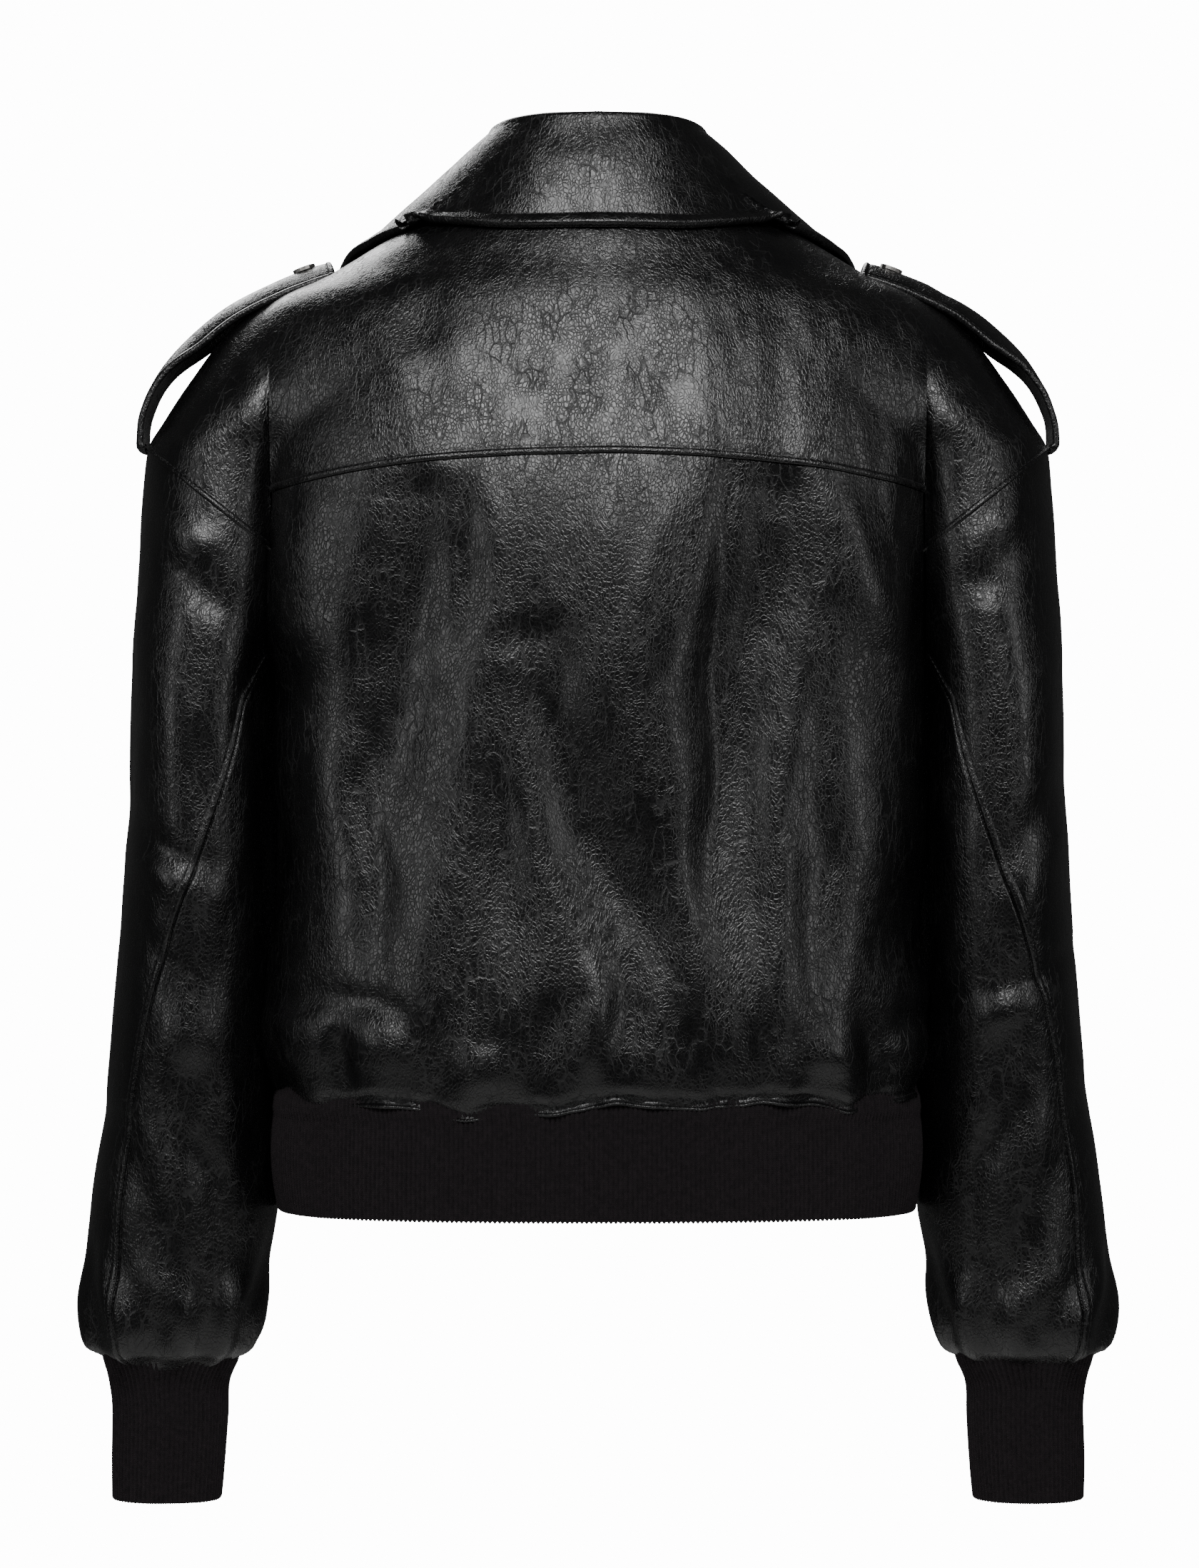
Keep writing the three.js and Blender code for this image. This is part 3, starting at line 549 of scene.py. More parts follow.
def sleeve_relief(hand):
    def relief(P):
        x, y, z = np.abs(P[..., 0]), P[..., 1], P[..., 2]
        back = smooth((y + 25) / 40)
        seed = 50 if hand > 0 else 80
        wx, wz = x + 8 * noise(x, z, 50, seed), z + 14 * noise(x, z, 60, seed + 1)
        drawn = strokes(wx, wz, SLEEVE_FOLDS) * (0.55 + 0.45 * back)
        round_arm = np.arctan2(y - arm(z, 3), x - (arm(z, 0) + arm(z, 1)) / 2)
        bunch = np.sin(round_arm * 9 + 2.2 * noise(round_arm * 30, z, 40, seed + 5))
        gathers = smooth((-575 - z) / 60) * smooth((z + 666) / 24) * 2.6 * bunch
        sag = smooth((z + 660) / 10) * smooth((-598 - z) / 30) * 2.5
        start = smooth((armhole_seam(x) - z) / 22)
        return (drawn + gathers + sag + crumple(x + y * 0.8, z, seed + 8)) * start

    return relief


def body_core(P):
    """Points inside the torso that the body's panels face away from."""
    return np.stack([P[..., 0] * 0.8, 0 * P[..., 1], np.minimum(P[..., 2], CORE_TOP)], axis=-1)


def arm_core(P):
    z = P[..., 2]
    return np.stack([np.sign(P[..., 0]) * (arm(z, 0) + arm(z, 1)) / 2, arm(z, 3), z], axis=-1)


def ends_close(n, power=3):
    """Shares from 0 to 1 that crowd together towards 1, where a panel turns over an edge."""
    return 1 - (1 - np.linspace(0, 1, n)) ** power


def both_ends_close(n, power=3):
    """The same from -1 to 1, for a panel that crosses the middle."""
    half = ends_close(n, power)
    return np.concatenate([-half[::-1][:-1], half])


def spread(low, high, rows, first, last, cols):
    """Two grids of evenly spaced values: the first changes from row to row, the second along each row."""
    return np.meshgrid(np.linspace(low, high, rows), np.linspace(first, last, cols), indexing="ij")


# ---------- materials ----------
TURN = 6.2832
LOOP_PITCH = 1.15  # height of one knitted loop


def shader(name):
    material = bpy.data.materials.new(name)
    material.use_nodes = True
    tree = material.node_tree
    tree.nodes.clear()
    out = tree.nodes.new("ShaderNodeOutputMaterial")
    main = tree.nodes.new("ShaderNodeBsdfPrincipled")
    tree.links.new(main.outputs[0], out.inputs[0])
    return material, tree, main


def feed(tree, main, entry, value):
    tree.links.new(value, main.inputs[entry])


def bumped(n, main, height, strength, distance):
    """Relief of a finish, with its distance in millimetres."""
    bump = n.add("Bump", {"Height": height, "Strength": strength, "Distance": distance * MM})
    feed(n.tree, main, "Normal", bump.outputs[0])


def steady(main, **values):
    """Settings that are the same all over a finish; _ stands for the space in a socket's name."""
    for key, value in values.items():
        main.inputs[key.replace("_", " ")].default_value = value


class Nodes:
    """Short calls for the node kinds that the finishes share."""

    def __init__(self, tree):
        self.tree = tree

    def add(self, kind, inputs=(), **settings):
        node = self.tree.nodes.new("ShaderNode" + kind)
        for key, value in settings.items():
            setattr(node, key, value)
        for key, value in dict(inputs).items():
            if isinstance(value, bpy.types.NodeSocket):
                self.tree.links.new(value, node.inputs[key])
            else:
                node.inputs[key].default_value = value
        return node

    def stretched(self, scale, source=None):
        """Object coordinates in millimetres, divided by scale along each axis."""
        where = source or self.add("TexCoord").outputs["Object"]
        size = tuple(1 / (MM * s) for s in scale) if source is None else tuple(1 / s for s in scale)
        return self.add("Mapping", {"Vector": where, "Scale": size}).outputs[0]

    def math(self, operation, a, b=0.0, c=0.0):
        return self.add("Math", {0: a, 1: b, 2: c}, operation=operation).outputs[0]

    def ramp(self, value, low, high, out_low=0.0, out_high=1.0):
        inputs = {0: value, 1: low, 2: high, 3: out_low, 4: out_high}
        return self.add("MapRange", inputs, interpolation_type="SMOOTHSTEP").outputs[0]

    def colour(self, share, a, b):
        node = self.add("Mix", {0: share}, data_type="RGBA")
        node.inputs[6].default_value, node.inputs[7].default_value = (*a, 1), (*b, 1)
        return node.outputs[2]

    def noise(self, vector, scale=1.0, detail=2.0, rough=0.5):
        inputs = {"Vector": vector, "Scale": scale, "Detail": detail, "Roughness": rough}
        return self.add("TexNoise", inputs).outputs[0]

    def cells(self, vector, feature="DISTANCE_TO_EDGE"):
        return self.add("TexVoronoi", {"Vector": vector, "Scale": 1.0}, feature=feature).outputs["Distance"]


def leather_material():
    """Soft black hide: a fine crackle of cells, long shallow cracks running down, and glossy patches."""
    material, tree, main = shader("crackled_leather")
    n = Nodes(tree)
    mm = n.stretched((1, 1, 1))
    drift = n.add("TexNoise", {"Vector": mm, "Scale": 0.09, "Detail": 2.0}).outputs["Color"]
    centred = n.add("VectorMath", {0: drift, 1: (0.5, 0.5, 0.5)}, operation="SUBTRACT").outputs[0]
    pushed = n.add("VectorMath", {0: centred, "Scale": 7.0}, operation="SCALE").outputs[0]
    warped = n.add("VectorMath", {0: mm, 1: pushed}, operation="ADD").outputs[0]
    small = n.cells(n.stretched((1.7, 1.7, 2.7), warped))
    large = n.cells(n.stretched((5.2, 5.2, 17), warped))
    grain = n.noise(n.stretched((0.55, 0.55, 0.7), mm), 1.0, 2.0, 0.6)
    patches = n.noise(n.stretched((24, 24, 36), warped), 1.0, 2.0)
    speckle = n.noise(n.stretched((5, 5, 6.5), mm), 1.0, 1.0)
    crackled = n.ramp(patches, 0.36, 0.6, 0.5, 1.0)
    cracks = n.math("MULTIPLY", n.math("SUBTRACT", 1.0, n.ramp(small, 0.0, 0.2)), crackled)
    long_mask = n.ramp(n.noise(n.stretched((15, 15, 30), mm)), 0.42, 0.58)
    long = n.math("MULTIPLY", n.math("SUBTRACT", 1.0, n.ramp(large, 0.0, 0.075)), long_mask)
    streaks = n.noise(n.stretched((1.3, 1.3, 7), warped), 1.0, 2.0)
    height = n.math("MULTIPLY_ADD", grain, 0.35, n.math("MULTIPLY", cracks, -1.0))
    height = n.math("MULTIPLY_ADD", long, -1.4, height)
    height = n.math("MULTIPLY_ADD", streaks, 0.9, height)
    height = n.math("MULTIPLY_ADD", speckle, 0.7, height)
    bumped(n, main, height, 0.44, 0.26)
    shade = n.colour(n.ramp(patches, 0.3, 0.7), (0.0024, 0.0024, 0.0027), (0.0040, 0.0039, 0.0041))
    feed(tree, main, "Base Color", shade)
    gloss = n.math("MULTIPLY_ADD", cracks, 0.14, n.ramp(speckle, 0.35, 0.7, 0.265, 0.215))
    gloss = n.math("MULTIPLY_ADD", long, 0.25, gloss)
    feed(tree, main, "Roughness", gloss)
    steady(main, Specular_IOR_Level=0.62, Coat_Weight=0.04, Coat_Roughness=0.32)
    return material


def knit_material():
    """Wool-blend rib: rows of small v-shaped loops, very dark with a brown cast, and a soft fuzz."""
    material, tree, main = shader("rib_knit")
    n = Nodes(tree)
    round_piece = n.add("Attribute", attribute_name="around").outputs["Fac"]
    up = n.add("SeparateXYZ", {0: n.stretched((1, 1, 1))}).outputs[2]
    share = n.math("FRACT", n.math("MULTIPLY", round_piece, 2.0))
    slant = n.math("ABSOLUTE", n.math("SUBTRACT", share, 0.5))
    level = n.math("MULTIPLY_ADD", slant, 1.3, n.math("DIVIDE", up, LOOP_PITCH))
    loops = n.math("SINE", n.math("MULTIPLY", level, TURN))
    fuzz = n.noise(n.stretched((0.5, 0.5, 0.5)), 1.0, 3.0, 0.7)
    height = n.math("MULTIPLY_ADD", fuzz, 1.2, loops)
    bumped(n, main, height, 0.6, 0.18)
    blotch = n.noise(n.stretched((3, 3, 3)), 1.0, 3.0)
    flecks = n.ramp(n.math("MULTIPLY_ADD", blotch, 0.6, n.math("MULTIPLY", fuzz, 0.5)), 0.35, 0.8)
    feed(tree, main, "Base Color", n.colour(flecks, (0.0045, 0.0034, 0.0042), (0.016, 0.012, 0.014)))
    steady(main, Roughness=0.95, Specular_IOR_Level=0.25, Sheen_Weight=0.08, Sheen_Roughness=0.6,
            Sheen_Tint=(0.5, 0.42, 0.46, 1))
    return material


def cloth_material(name, dark, light, pitch, rough=0.6):
    """Fine woven cloth, for the lining and the zip tape."""
    material, tree, main = shader(name)
    n = Nodes(tree)
    parts = n.add("SeparateXYZ", {0: n.stretched((1, 1, 1))})
    sideways = n.math("ADD", parts.outputs[0], parts.outputs[1])
    across = n.math("SINE", n.math("MULTIPLY", sideways, TURN / pitch))
    along = n.math("SINE", n.math("MULTIPLY", parts.outputs[2], TURN / pitch))
    weave = n.math("MULTIPLY", across, along)
    bumped(n, main, weave, 0.4, 0.08)
    cloud = n.noise(n.stretched((18, 18, 30)), 1.0, 3.0)
    feed(tree, main, "Base Color", n.colour(n.ramp(cloud, 0.3, 0.7), dark, light))
    steady(main, Roughness=rough, Sheen_Weight=0.15)
    return material


def thread_material():
    material, tree, main = shader("sewing_thread")
    n = Nodes(tree)
    parts = n.add("SeparateXYZ", {0: n.stretched((1, 1, 1))})
    twist = n.math("SINE", n.math("MULTIPLY", n.math("ADD", parts.outputs[0], parts.outputs[2]), 14.0))
    bumped(n, main, twist, 0.5, 0.05)
    wear = n.noise(n.stretched((9, 9, 9)), 1.0, 2.0)
    feed(tree, main, "Base Color", n.colour(wear, (0.012, 0.012, 0.013), (0.035, 0.034, 0.035)))
    steady(main, Roughness=0.5)
    return material


def metal_material():
    """Satin nickel with fine brushing and dulled patches."""
    material, tree, main = shader("satin_nickel")
    n = Nodes(tree)
    brushing = n.noise(n.stretched((0.25, 0.25, 4)), 1.0, 3.0)
    bumped(n, main, brushing, 0.25, 0.03)
    dull = n.noise(n.stretched((3, 3, 3)), 1.0, 3.0)
    feed(tree, main, "Base Color", n.colour(dull, (0.36, 0.35, 0.34), (0.62, 0.60, 0.57)))
    feed(tree, main, "Roughness", n.ramp(dull, 0.3, 0.7, 0.26, 0.42))
    steady(main, Metallic=1.0)
    return material


leather = leather_material()
knit = knit_material()
lining_cloth = cloth_material("satin_lining", (0.010, 0.010, 0.012), (0.022, 0.022, 0.025), 0.5, 0.45)
tape_cloth = cloth_material("zip_tape_cloth", (0.012, 0.012, 0.013), (0.020, 0.020, 0.021), 0.8, 0.8)
thread = thread_material()
nickel = metal_material()


# ---------- camera, lights and floor, in metres ----------
CAMERA_PLACE, LENS, SENSOR = (-0.001, 2.946, -0.3358), 122.9, 36
BACKDROP, FILL = 14.0, 0.05  # the world's strength as the camera sees it, and as it lights the jacket
FLOOR_RADIUS, FLOOR_Z, FLOOR_SIDES = 1.2, -1.3, 64
# name, place, target, width and height, watts
LAMPS = (
    ("key", (0.05, 2.1, 1.02), (0, 0, -0.1), (1.3, 1.0), 40),
    ("edge_left", (2.0, 1.6, 0.05), (0, 0, -0.35), (0.6, 1.6), 9),
    ("edge_right", (-2.0, 1.6, 0.05), (0, 0, -0.35), (0.6, 1.6), 9),
    ("front", (0.6, -2.6, 1.6), (0, 0, -0.3), (2.0, 1.4), 60),
)


def studio():
    scene = bpy.context.scene
    camera = bpy.data.objects.new("camera", bpy.data.cameras.new("camera"))
    camera.data.sensor_width = SENSOR
    camera.data.lens = LENS
    camera.location = CAMERA_PLACE
    camera.rotation_euler = (math.pi / 2, 0, math.pi)
    camera.data.clip_end = 50
    scene.collection.objects.link(camera)
    scene.camera = camera

    world = bpy.data.worlds.new("studio")
    world.use_nodes = True
    tree = world.node_tree
    tree.nodes.clear()
    n = Nodes(tree)
    seen = n.add("Background", {"Color": (1, 1, 1, 1), "Strength": BACKDROP}).outputs[0]
    fill = n.add("Background", {"Color": (1, 1, 1, 1), "Strength": FILL}).outputs[0]
    mixed = n.add("MixShader", {0: n.add("LightPath").outputs["Is Camera Ray"], 1: fill, 2: seen})
    out = tree.nodes.new("ShaderNodeOutputWorld")
    tree.links.new(mixed.outputs[0], out.inputs[0])
    scene.world = world

    for name, spot, target, size, power in LAMPS:
        data = bpy.data.lights.new(name, "AREA")
        data.shape, data.size, data.size_y, data.energy = "RECTANGLE", size[0], size[1], power
        light = bpy.data.objects.new(name, data)
        scene.collection.objects.link(light)
        light.location = spot
        aim = Vector(target) - Vector(spot)
        light.rotation_euler = aim.to_track_quat("-Z", "Y").to_euler()

    turns = np.linspace(0, 2 * math.pi, FLOOR_SIDES + 1)[:-1]
    ring = [(FLOOR_RADIUS * math.cos(a), FLOOR_RADIUS * math.sin(a), FLOOR_Z) for a in turns]
    mesh = bpy.data.meshes.new("floor")
    mesh.from_pydata(ring, [], [list(range(FLOOR_SIDES))])
    material, tree, main = shader("pale_floor")
    n = Nodes(tree)
    cloud = n.noise(n.stretched((400, 400, 400)), 1.0, 2.0)
    feed(tree, main, "Base Color", n.colour(cloud, (0.78, 0.78, 0.77), (0.84, 0.84, 0.83)))
    steady(main, Roughness=0.8)
    mesh.materials.append(material)
    floor = bpy.data.objects.new("floor", mesh)
    scene.collection.objects.link(floor)


studio()


# ---------- back: yoke, shoulders and panel ----------
def back_yoke():
    X, V = np.meshgrid(both_ends_close(150) * FOLD_X, ends_close(120))
    Z = mix(yoke_seam(X), ridge_z(np.abs(X)) - RIDGE_GAP, V)
    panel("back_yoke", on_body(X, Z, 1), body_core, leather, "shell", ["back_yoke"], [4.2, None, None, None],
          relief=body_relief, step=2.6)


def shoulders():
    for word, hand in HANDS:
        x = np.linspace(FOLD_X, SHOULDER_X - 1.5, 90)
        X, V = np.meshgrid(x, ends_close(90))
        P = on_body(X, mix(armhole_seam(X), ridge_z(X) - RIDGE_GAP, V), 1)
        tuck = 5.0 * np.exp(-(X - FOLD_X) / 7) * smooth((-92 - P[..., 2]) / 40)
        P[..., 1] = np.maximum(P[..., 1] - tuck, 0)
        panel(f"shoulder_{word}", mirrored(P, hand), body_core, leather, "shell", (), [5.0, None, None, None],
              relief=body_relief, step=2.6, welt=1.5)


def mirrored(P, hand):
    return P * [hand, 1, 1]


# x and height of the wavy lower edge across the back
HEM_BACK = [
    (-186, -509), (-176, -510), (-160, -513), (-137, -516), (-120, -512), (-94, -509.5), (-62, -513),
    (-30, -511.5), (-8, -509.5), (12, -514), (45, -516.5), (83, -519), (96, -514), (118, -511), (138, -514),
    (150, -516), (172, -517), (182, -512), (188, -509),
]


def curve_along(rows, x):
    """A smooth curve through rows of (place, value), with soft turns at the rows."""
    at, value = np.array(rows, float).T
    fine = np.linspace(at[0], at[-1], 400)
    level = np.interp(fine, at, value)
    kernel = np.hanning(21)
    padded = np.pad(level, 10, mode="edge")
    return np.interp(x, fine, np.convolve(padded, kernel / kernel.sum(), mode="valid"))


def hem_line(x, side):
    """The gathered lower edge of the leather rises and dips a little round the waistband."""
    if side < 0:
        waves = noise(x + 400, 0 * x, 27, 33) * 2.6 + noise(x, 0 * x, 11, 34) * 0.9
        return HEM - 2.5 + waves * smooth((178 - np.abs(x)) / 20)
    drawn = curve_along(HEM_BACK, x)
    return drawn + 0.5 * noise(x, 0 * x, 11, 34)


def back_panel():
    S, V = np.meshgrid(both_ends_close(170, 4), np.linspace(0, 1, 200))
    Z = mix(hem_line(S * FOLD_X, 1), yoke_seam(S * FOLD_X), V)
    edge = np.where(Z > FOLD_LOW, FOLD_X, np.minimum(FOLD_X + 6, crease_x(Z, 1)))
    X = np.abs(S) * (edge - SEAM_GAP)
    P = np.stack([np.sign(S) * X, np.maximum(torso_depth(X, Z, 1), 0.4), Z], axis=-1)
    panel("back_panel", P, body_core, leather, "shell", ["back_panel"], [HEM_SEWN, None, "turned", "turned"],
          relief=body_relief, step=2.6, pucker=hem_pucker)


def hem_pucker(P, far):
    """The gathered edge above the knit: small tight waves in the sewn band."""
    d = far[0]
    run = P[..., 0] + 0.5 * P[..., 1]
    band = np.exp(-((d - 3.6) / 5.0) ** 2)
    waves = 0.7 * np.sin(run / 3.1 + 3 * noise(run, d * 0, 25, 31)) + 0.6 * noise(run, d, 9, 32)
    return band * waves - 2.0 * np.exp(-((d - 6) / 2.8) ** 2)


# ---------- fronts ----------
def fronts():
    z = np.concatenate([np.linspace(HEM - 1.5, SHOULDER_Z, 110)[:-1],
                        np.linspace(SHOULDER_Z, FRONT_TOP, 110)])
    Z, S = np.meshgrid(z, ends_close(170), indexing="ij")
    P = on_body(mix(neck_edge(Z), outer_x(Z, -1) - SEAM_GAP, S), Z, -1)
    P[..., 1] = np.minimum(P[..., 1], -0.4)
    for word, hand in HANDS:
        panel(f"front_panel_{word}", mirrored(P, hand), body_core, leather, "shell", [f"front_panel_{word}"],
              [HEM_SEWN, None, FRONT_SEWN, "turned"], relief=body_relief, step=3.2, pucker=hem_pucker)


# ---------- sleeves ----------
def sleeve_grid(angles, low=SLEEVE_END - 1, top=-2.4, rows=190):
    """angles(v) gives the panel's two side angles in degrees at each share down the sleeve."""
    V, U = np.meshgrid(np.linspace(0, 1, rows), np.linspace(0, 1, 150), indexing="ij")
    first, last = angles(V)
    angle = np.radians(mix(first, last, U))
    end = low - 7 * np.abs(np.sin(angle)) + 6 * np.maximum(np.cos(angle), 0)
    P = on_arm(angle, mix(sleeve_top(angle) - top, end, V))
    z = P[..., 2]
    close = 3.9 + 1.6 * np.exp(-(((z + 506) / 20) ** 2))
    P[..., 0] -= close * smooth(-np.cos(angle)) * smooth((ARMPIT + 20 - z) / 50) * smooth((z + 610) / 40)
    return P


def sleeve_pucker(P, far):
    d = far[1]
    band = np.exp(-((d - 4.0) / 6.0) ** 2)
    run = P[..., 0] + P[..., 1] * 0.8
    waves = 0.35 * np.sin(run / 2.4 + 3 * noise(run, d * 0, 20, 41)) + 0.3 * noise(run, d, 8, 42)
    return -3.0 * smooth((9 - d) / 9) + band * waves


def sleeves():
    gap = 0.15
    top = sleeve_grid(lambda v: (FRONT_SEAM + gap, back_seam(-v) - gap))
    under = sleeve_grid(lambda v: (back_seam(-v) + gap, 360 + FRONT_SEAM - gap))
    for word, hand in HANDS:
        for name, P, seam in (("sleeve_top_", top, 5.0), ("sleeve_under_", under, "turned")):
            panel(name + word, mirrored(P, hand), arm_core, leather, f"sleeve_{word}", [name + word],
                  ["turned", 4.0, "turned", seam], relief=sleeve_relief(hand), step=3.0, pucker=sleeve_pucker)


# ---------- ribbed knit: cuffs and waistband ----------
RIB_PITCH = 2.6


def geometry_tree(name, sizes):
    tree = bpy.data.node_groups.new(name, "GeometryNodeTree")
    tree.interface.new_socket("Geometry", in_out="INPUT", socket_type="NodeSocketGeometry")
    for label, value in sizes.items():
        socket = tree.interface.new_socket(label, in_out="INPUT", socket_type="NodeSocketFloat")
        socket.default_value = value
    tree.interface.new_socket("Geometry", in_out="OUTPUT", socket_type="NodeSocketGeometry")
    return tree, tree.nodes.new("NodeGroupInput"), tree.nodes.new("NodeGroupOutput")


def grown(obj, tree, sizes, name):
    """Runs a geometry tree on obj and keeps the result as a plain mesh in a new object."""
    modifier = obj.modifiers.new("grow", "NODES")
    modifier.node_group = tree
    for item in tree.interface.items_tree:
        if item.in_out == "INPUT" and item.name in sizes:
            modifier[item.identifier] = float(sizes[item.name])
    bpy.context.view_layer.update()
    mesh = bpy.data.meshes.new_from_object(obj.evaluated_get(bpy.context.evaluated_depsgraph_get()))
    obj.modifiers.remove(modifier)
    bpy.data.objects.remove(obj)
    mesh.name = name
    made = bpy.data.objects.new(name, mesh)
    bpy.context.scene.collection.objects.link(made)
    return made


def painted_end(tree, shapes, finish, end):
    """Ends a tree with its instances made real and their finish set."""
    whole = tree.nodes.new("GeometryNodeRealizeInstances")
    tree.links.new(shapes, whole.inputs[0])
    painted = tree.nodes.new("GeometryNodeSetMaterial")
    painted.inputs["Material"].default_value = finish
    tree.links.new(whole.outputs[0], painted.inputs[0])
    tree.links.new(painted.outputs[0], end.inputs[0])


def spaced_points(tree, entry, spacing):
    """Points along the lines that a tree is given, one for each length of the named input."""
    points = tree.nodes.new("GeometryNodeCurveToPoints")
    points.mode = "LENGTH"
    tree.links.new(entry.outputs[0], points.inputs["Curve"])
    tree.links.new(entry.outputs[spacing], points.inputs["Length"])
    return points


def drawn_lines(name, lines):
    """A curve object with one straight-sided line for each list of places."""
    curve = bpy.data.curves.new(name, "CURVE")
    curve.dimensions = "3D"
    for line in lines:
        spline = curve.splines.new("POLY")
        spline.points.add(len(line) - 1)
        spline.points.foreach_set("co", np.c_[line, np.ones(len(line))].ravel())
    obj = bpy.data.objects.new(name, curve)
    bpy.context.scene.collection.objects.link(obj)
    return obj


def rib_tree():
    """Raises ribs on a smooth knit: each whole number of the around attribute is one rib."""
    tree, entry, end = geometry_tree("ribs", {"Depth": 0.5 * MM})
    new, link = tree.nodes.new, tree.links.new
    around = new("GeometryNodeInputNamedAttribute")
    around.inputs["Name"].default_value = "around"
    turn = new("ShaderNodeMath")
    turn.operation = "MULTIPLY"
    turn.inputs[1].default_value = 2 * math.pi
    link(around.outputs[0], turn.inputs[0])
    wave = new("ShaderNodeMath")
    wave.operation = "SINE"
    link(turn.outputs[0], wave.inputs[0])
    depth = new("ShaderNodeMath")
    depth.operation = "MULTIPLY"
    link(wave.outputs[0], depth.inputs[0])
    link(entry.outputs["Depth"], depth.inputs[1])
    offset = new("ShaderNodeVectorMath")
    offset.operation = "SCALE"
    link(new("GeometryNodeInputNormal").outputs[0], offset.inputs[0])
    link(depth.outputs[0], offset.inputs["Scale"])
    moved = new("GeometryNodeSetPosition")
    link(entry.outputs[0], moved.inputs["Geometry"])
    link(offset.outputs[0], moved.inputs["Offset"])
    painted_end(tree, moved.outputs[0], knit, end)
    return tree


RIBS = rib_tree()


def ribbed(name, P, core, body, nodes, thickness, closed, relief=None):
    """P runs from the sewn end to the free end along axis 0 and round the piece along axis 1."""
    around = lengths(P, 1)
    total = around[len(P) // 3, -1]
    ribs = round(total / RIB_PITCH)
    per_rib = 6 if FINE else 4
    cols = ribs * per_rib
    P = np.array([[np.interp(np.linspace(0, s[-1], cols + 1), s, line[:, k]) for k in range(3)]
                  for line, s in zip(P, around)]).transpose(0, 2, 1)
    P = laid_out(P, 0, [0, 0.3, 0.9, 1.7, 3], [0, 0.3, 0.9, 1.7, 3], 5.0 if FINE else 6.0)
    if closed:
        P = P[:, :-1]
    N = normals(P, core(P), closed)
    rows = lengths(P, 0)
    if relief is not None:
        P = P + N * relief(P, rows)[..., None]
        N = normals(P, core(P), closed)
    turned = edge_relief(rows, None, 0, 1.6) + edge_relief(rows[-1:] - rows, None, 0, 1.6)
    inner = P - N * (thickness + turned * 0.6)[..., None]
    obj = wall("base_" + name, P + N * turned[..., None], inner, knit, closed)
    count = np.broadcast_to(np.arange(P.shape[1]) / per_rib, P.shape[:2]).ravel()
    layer = obj.data.attributes.new("around", "FLOAT", "POINT")
    layer.data.foreach_set("value", np.concatenate([count, count]).astype(np.float32))
    obj = grown(obj, RIBS, {"Depth": 0.55 * MM}, name)
    settle(obj, body, nodes)


def cuffs():
    V, U = spread(0, 1, 60, 0, 2 * math.pi, 361)
    P = on_arm(U, mix(SLEEVE_END + 9, CUFF_END, V))

    def relief(Q, rows):
        soft = 0.9 * noise(Q[..., 0] * 1.3 + Q[..., 1], Q[..., 2] * 0.4, 16, 61)
        return 1.2 * np.sin(np.pi * np.clip(rows / rows[-1:], 0, 1)) + soft - 2.6 * smooth((14 - rows) / 12)

    for word, hand in HANDS:
        ribbed(f"cuff_rib_{word}", mirrored(P, hand), arm_core, f"sleeve_{word}", [f"cuff_rib_{word}"],
               2.4, True, relief)


def waist_point(angle, z):
    half, power = torso(z, 0), 2 / torso(z, 3)
    c, s = np.cos(angle), np.sin(angle)
    depth = np.where(c > 0, torso(z, 1), torso(z, 2))
    x, y = (size * np.sign(v) * np.abs(v) ** power for size, v in ((half, s), (depth, c)))
    return np.stack([x, y, z], axis=-1)


def waistband():
    end = math.pi - math.asin(((FRONT_EDGE + TAB_WIDTH - 4) / 177) ** 1.3)
    V, U = spread(0, 1, 40, -end, end, 1601)
    P = waist_point(U, mix(HEM + 8, WAIST_END, V))

    def relief(Q, rows):
        share = np.clip(rows / rows[-1:], 0, 1)
        soft = 1.1 * noise(Q[..., 0] + Q[..., 1] * 0.8, Q[..., 2] * 0.3, 34, 71)
        front = smooth((60 - np.abs(Q[..., 0])) / 20) * (Q[..., 1] < 0)
        side = smooth((np.abs(Q[..., 0]) - 150) / 25)
        wide = 2.2 + 3.0 * side
        tucked = (6.5 - 3.5 * side) * smooth((12 - rows) / 9)
        return (wide * np.sin(np.pi * share) + soft) * (1 - 0.8 * front) - tucked

    ribbed("waistband_rib", P, body_core, "shell", ["waistband_rib"], 2.8, False, relief)
    for word, hand in HANDS:
        z, x = spread(WAIST_END, HEM + 2, 40, FRONT_EDGE, FRONT_EDGE + TAB_WIDTH, 30)
        share = (x - FRONT_EDGE) / TAB_WIDTH
        P = np.stack([x, -130 + 3 * share**2, z], axis=-1)
        name = f"waistband_tab_{word}"
        panel(name, mirrored(P, hand), body_core, leather, "shell", [name], [5.0, None, 5.0, 5.0],
              step=3, thickness=1.9)


# ---------- collar and lapels ----------
def curve_through(rows):
    """A smooth line through points, for values from 0 to 1 with the points evenly spread over them."""
    Q = np.array(rows, float)
    Q = np.concatenate([[2 * Q[0] - Q[1]], Q, [2 * Q[-1] - Q[-2]]])
    span = np.linalg.norm(np.diff(Q, axis=0), axis=1) ** 0.5

    def point(t):
        at = np.asarray(t, float) * (len(Q) - 3)
        i = np.clip(np.floor(at).astype(int), 0, len(Q) - 4)
        t = (at - i)[..., None]
        a, b, c, d = (Q[i + k] for k in range(4))
        d0, d1, d2 = (span[i + k][..., None] for k in range(3))
        m1 = d1 * ((b - a) / d0 - (c - a) / (d0 + d1) + (c - b) / d1)
        m2 = d1 * ((c - b) / d1 - (d - b) / (d1 + d2) + (d - c) / d2)
        return ((2 * t**3 - 3 * t**2 + 1) * b + (t**3 - 2 * t**2 + t) * m1 + (3 * t**2 - 2 * t**3) * c
                + (t**3 - t**2) * m2)

    return point


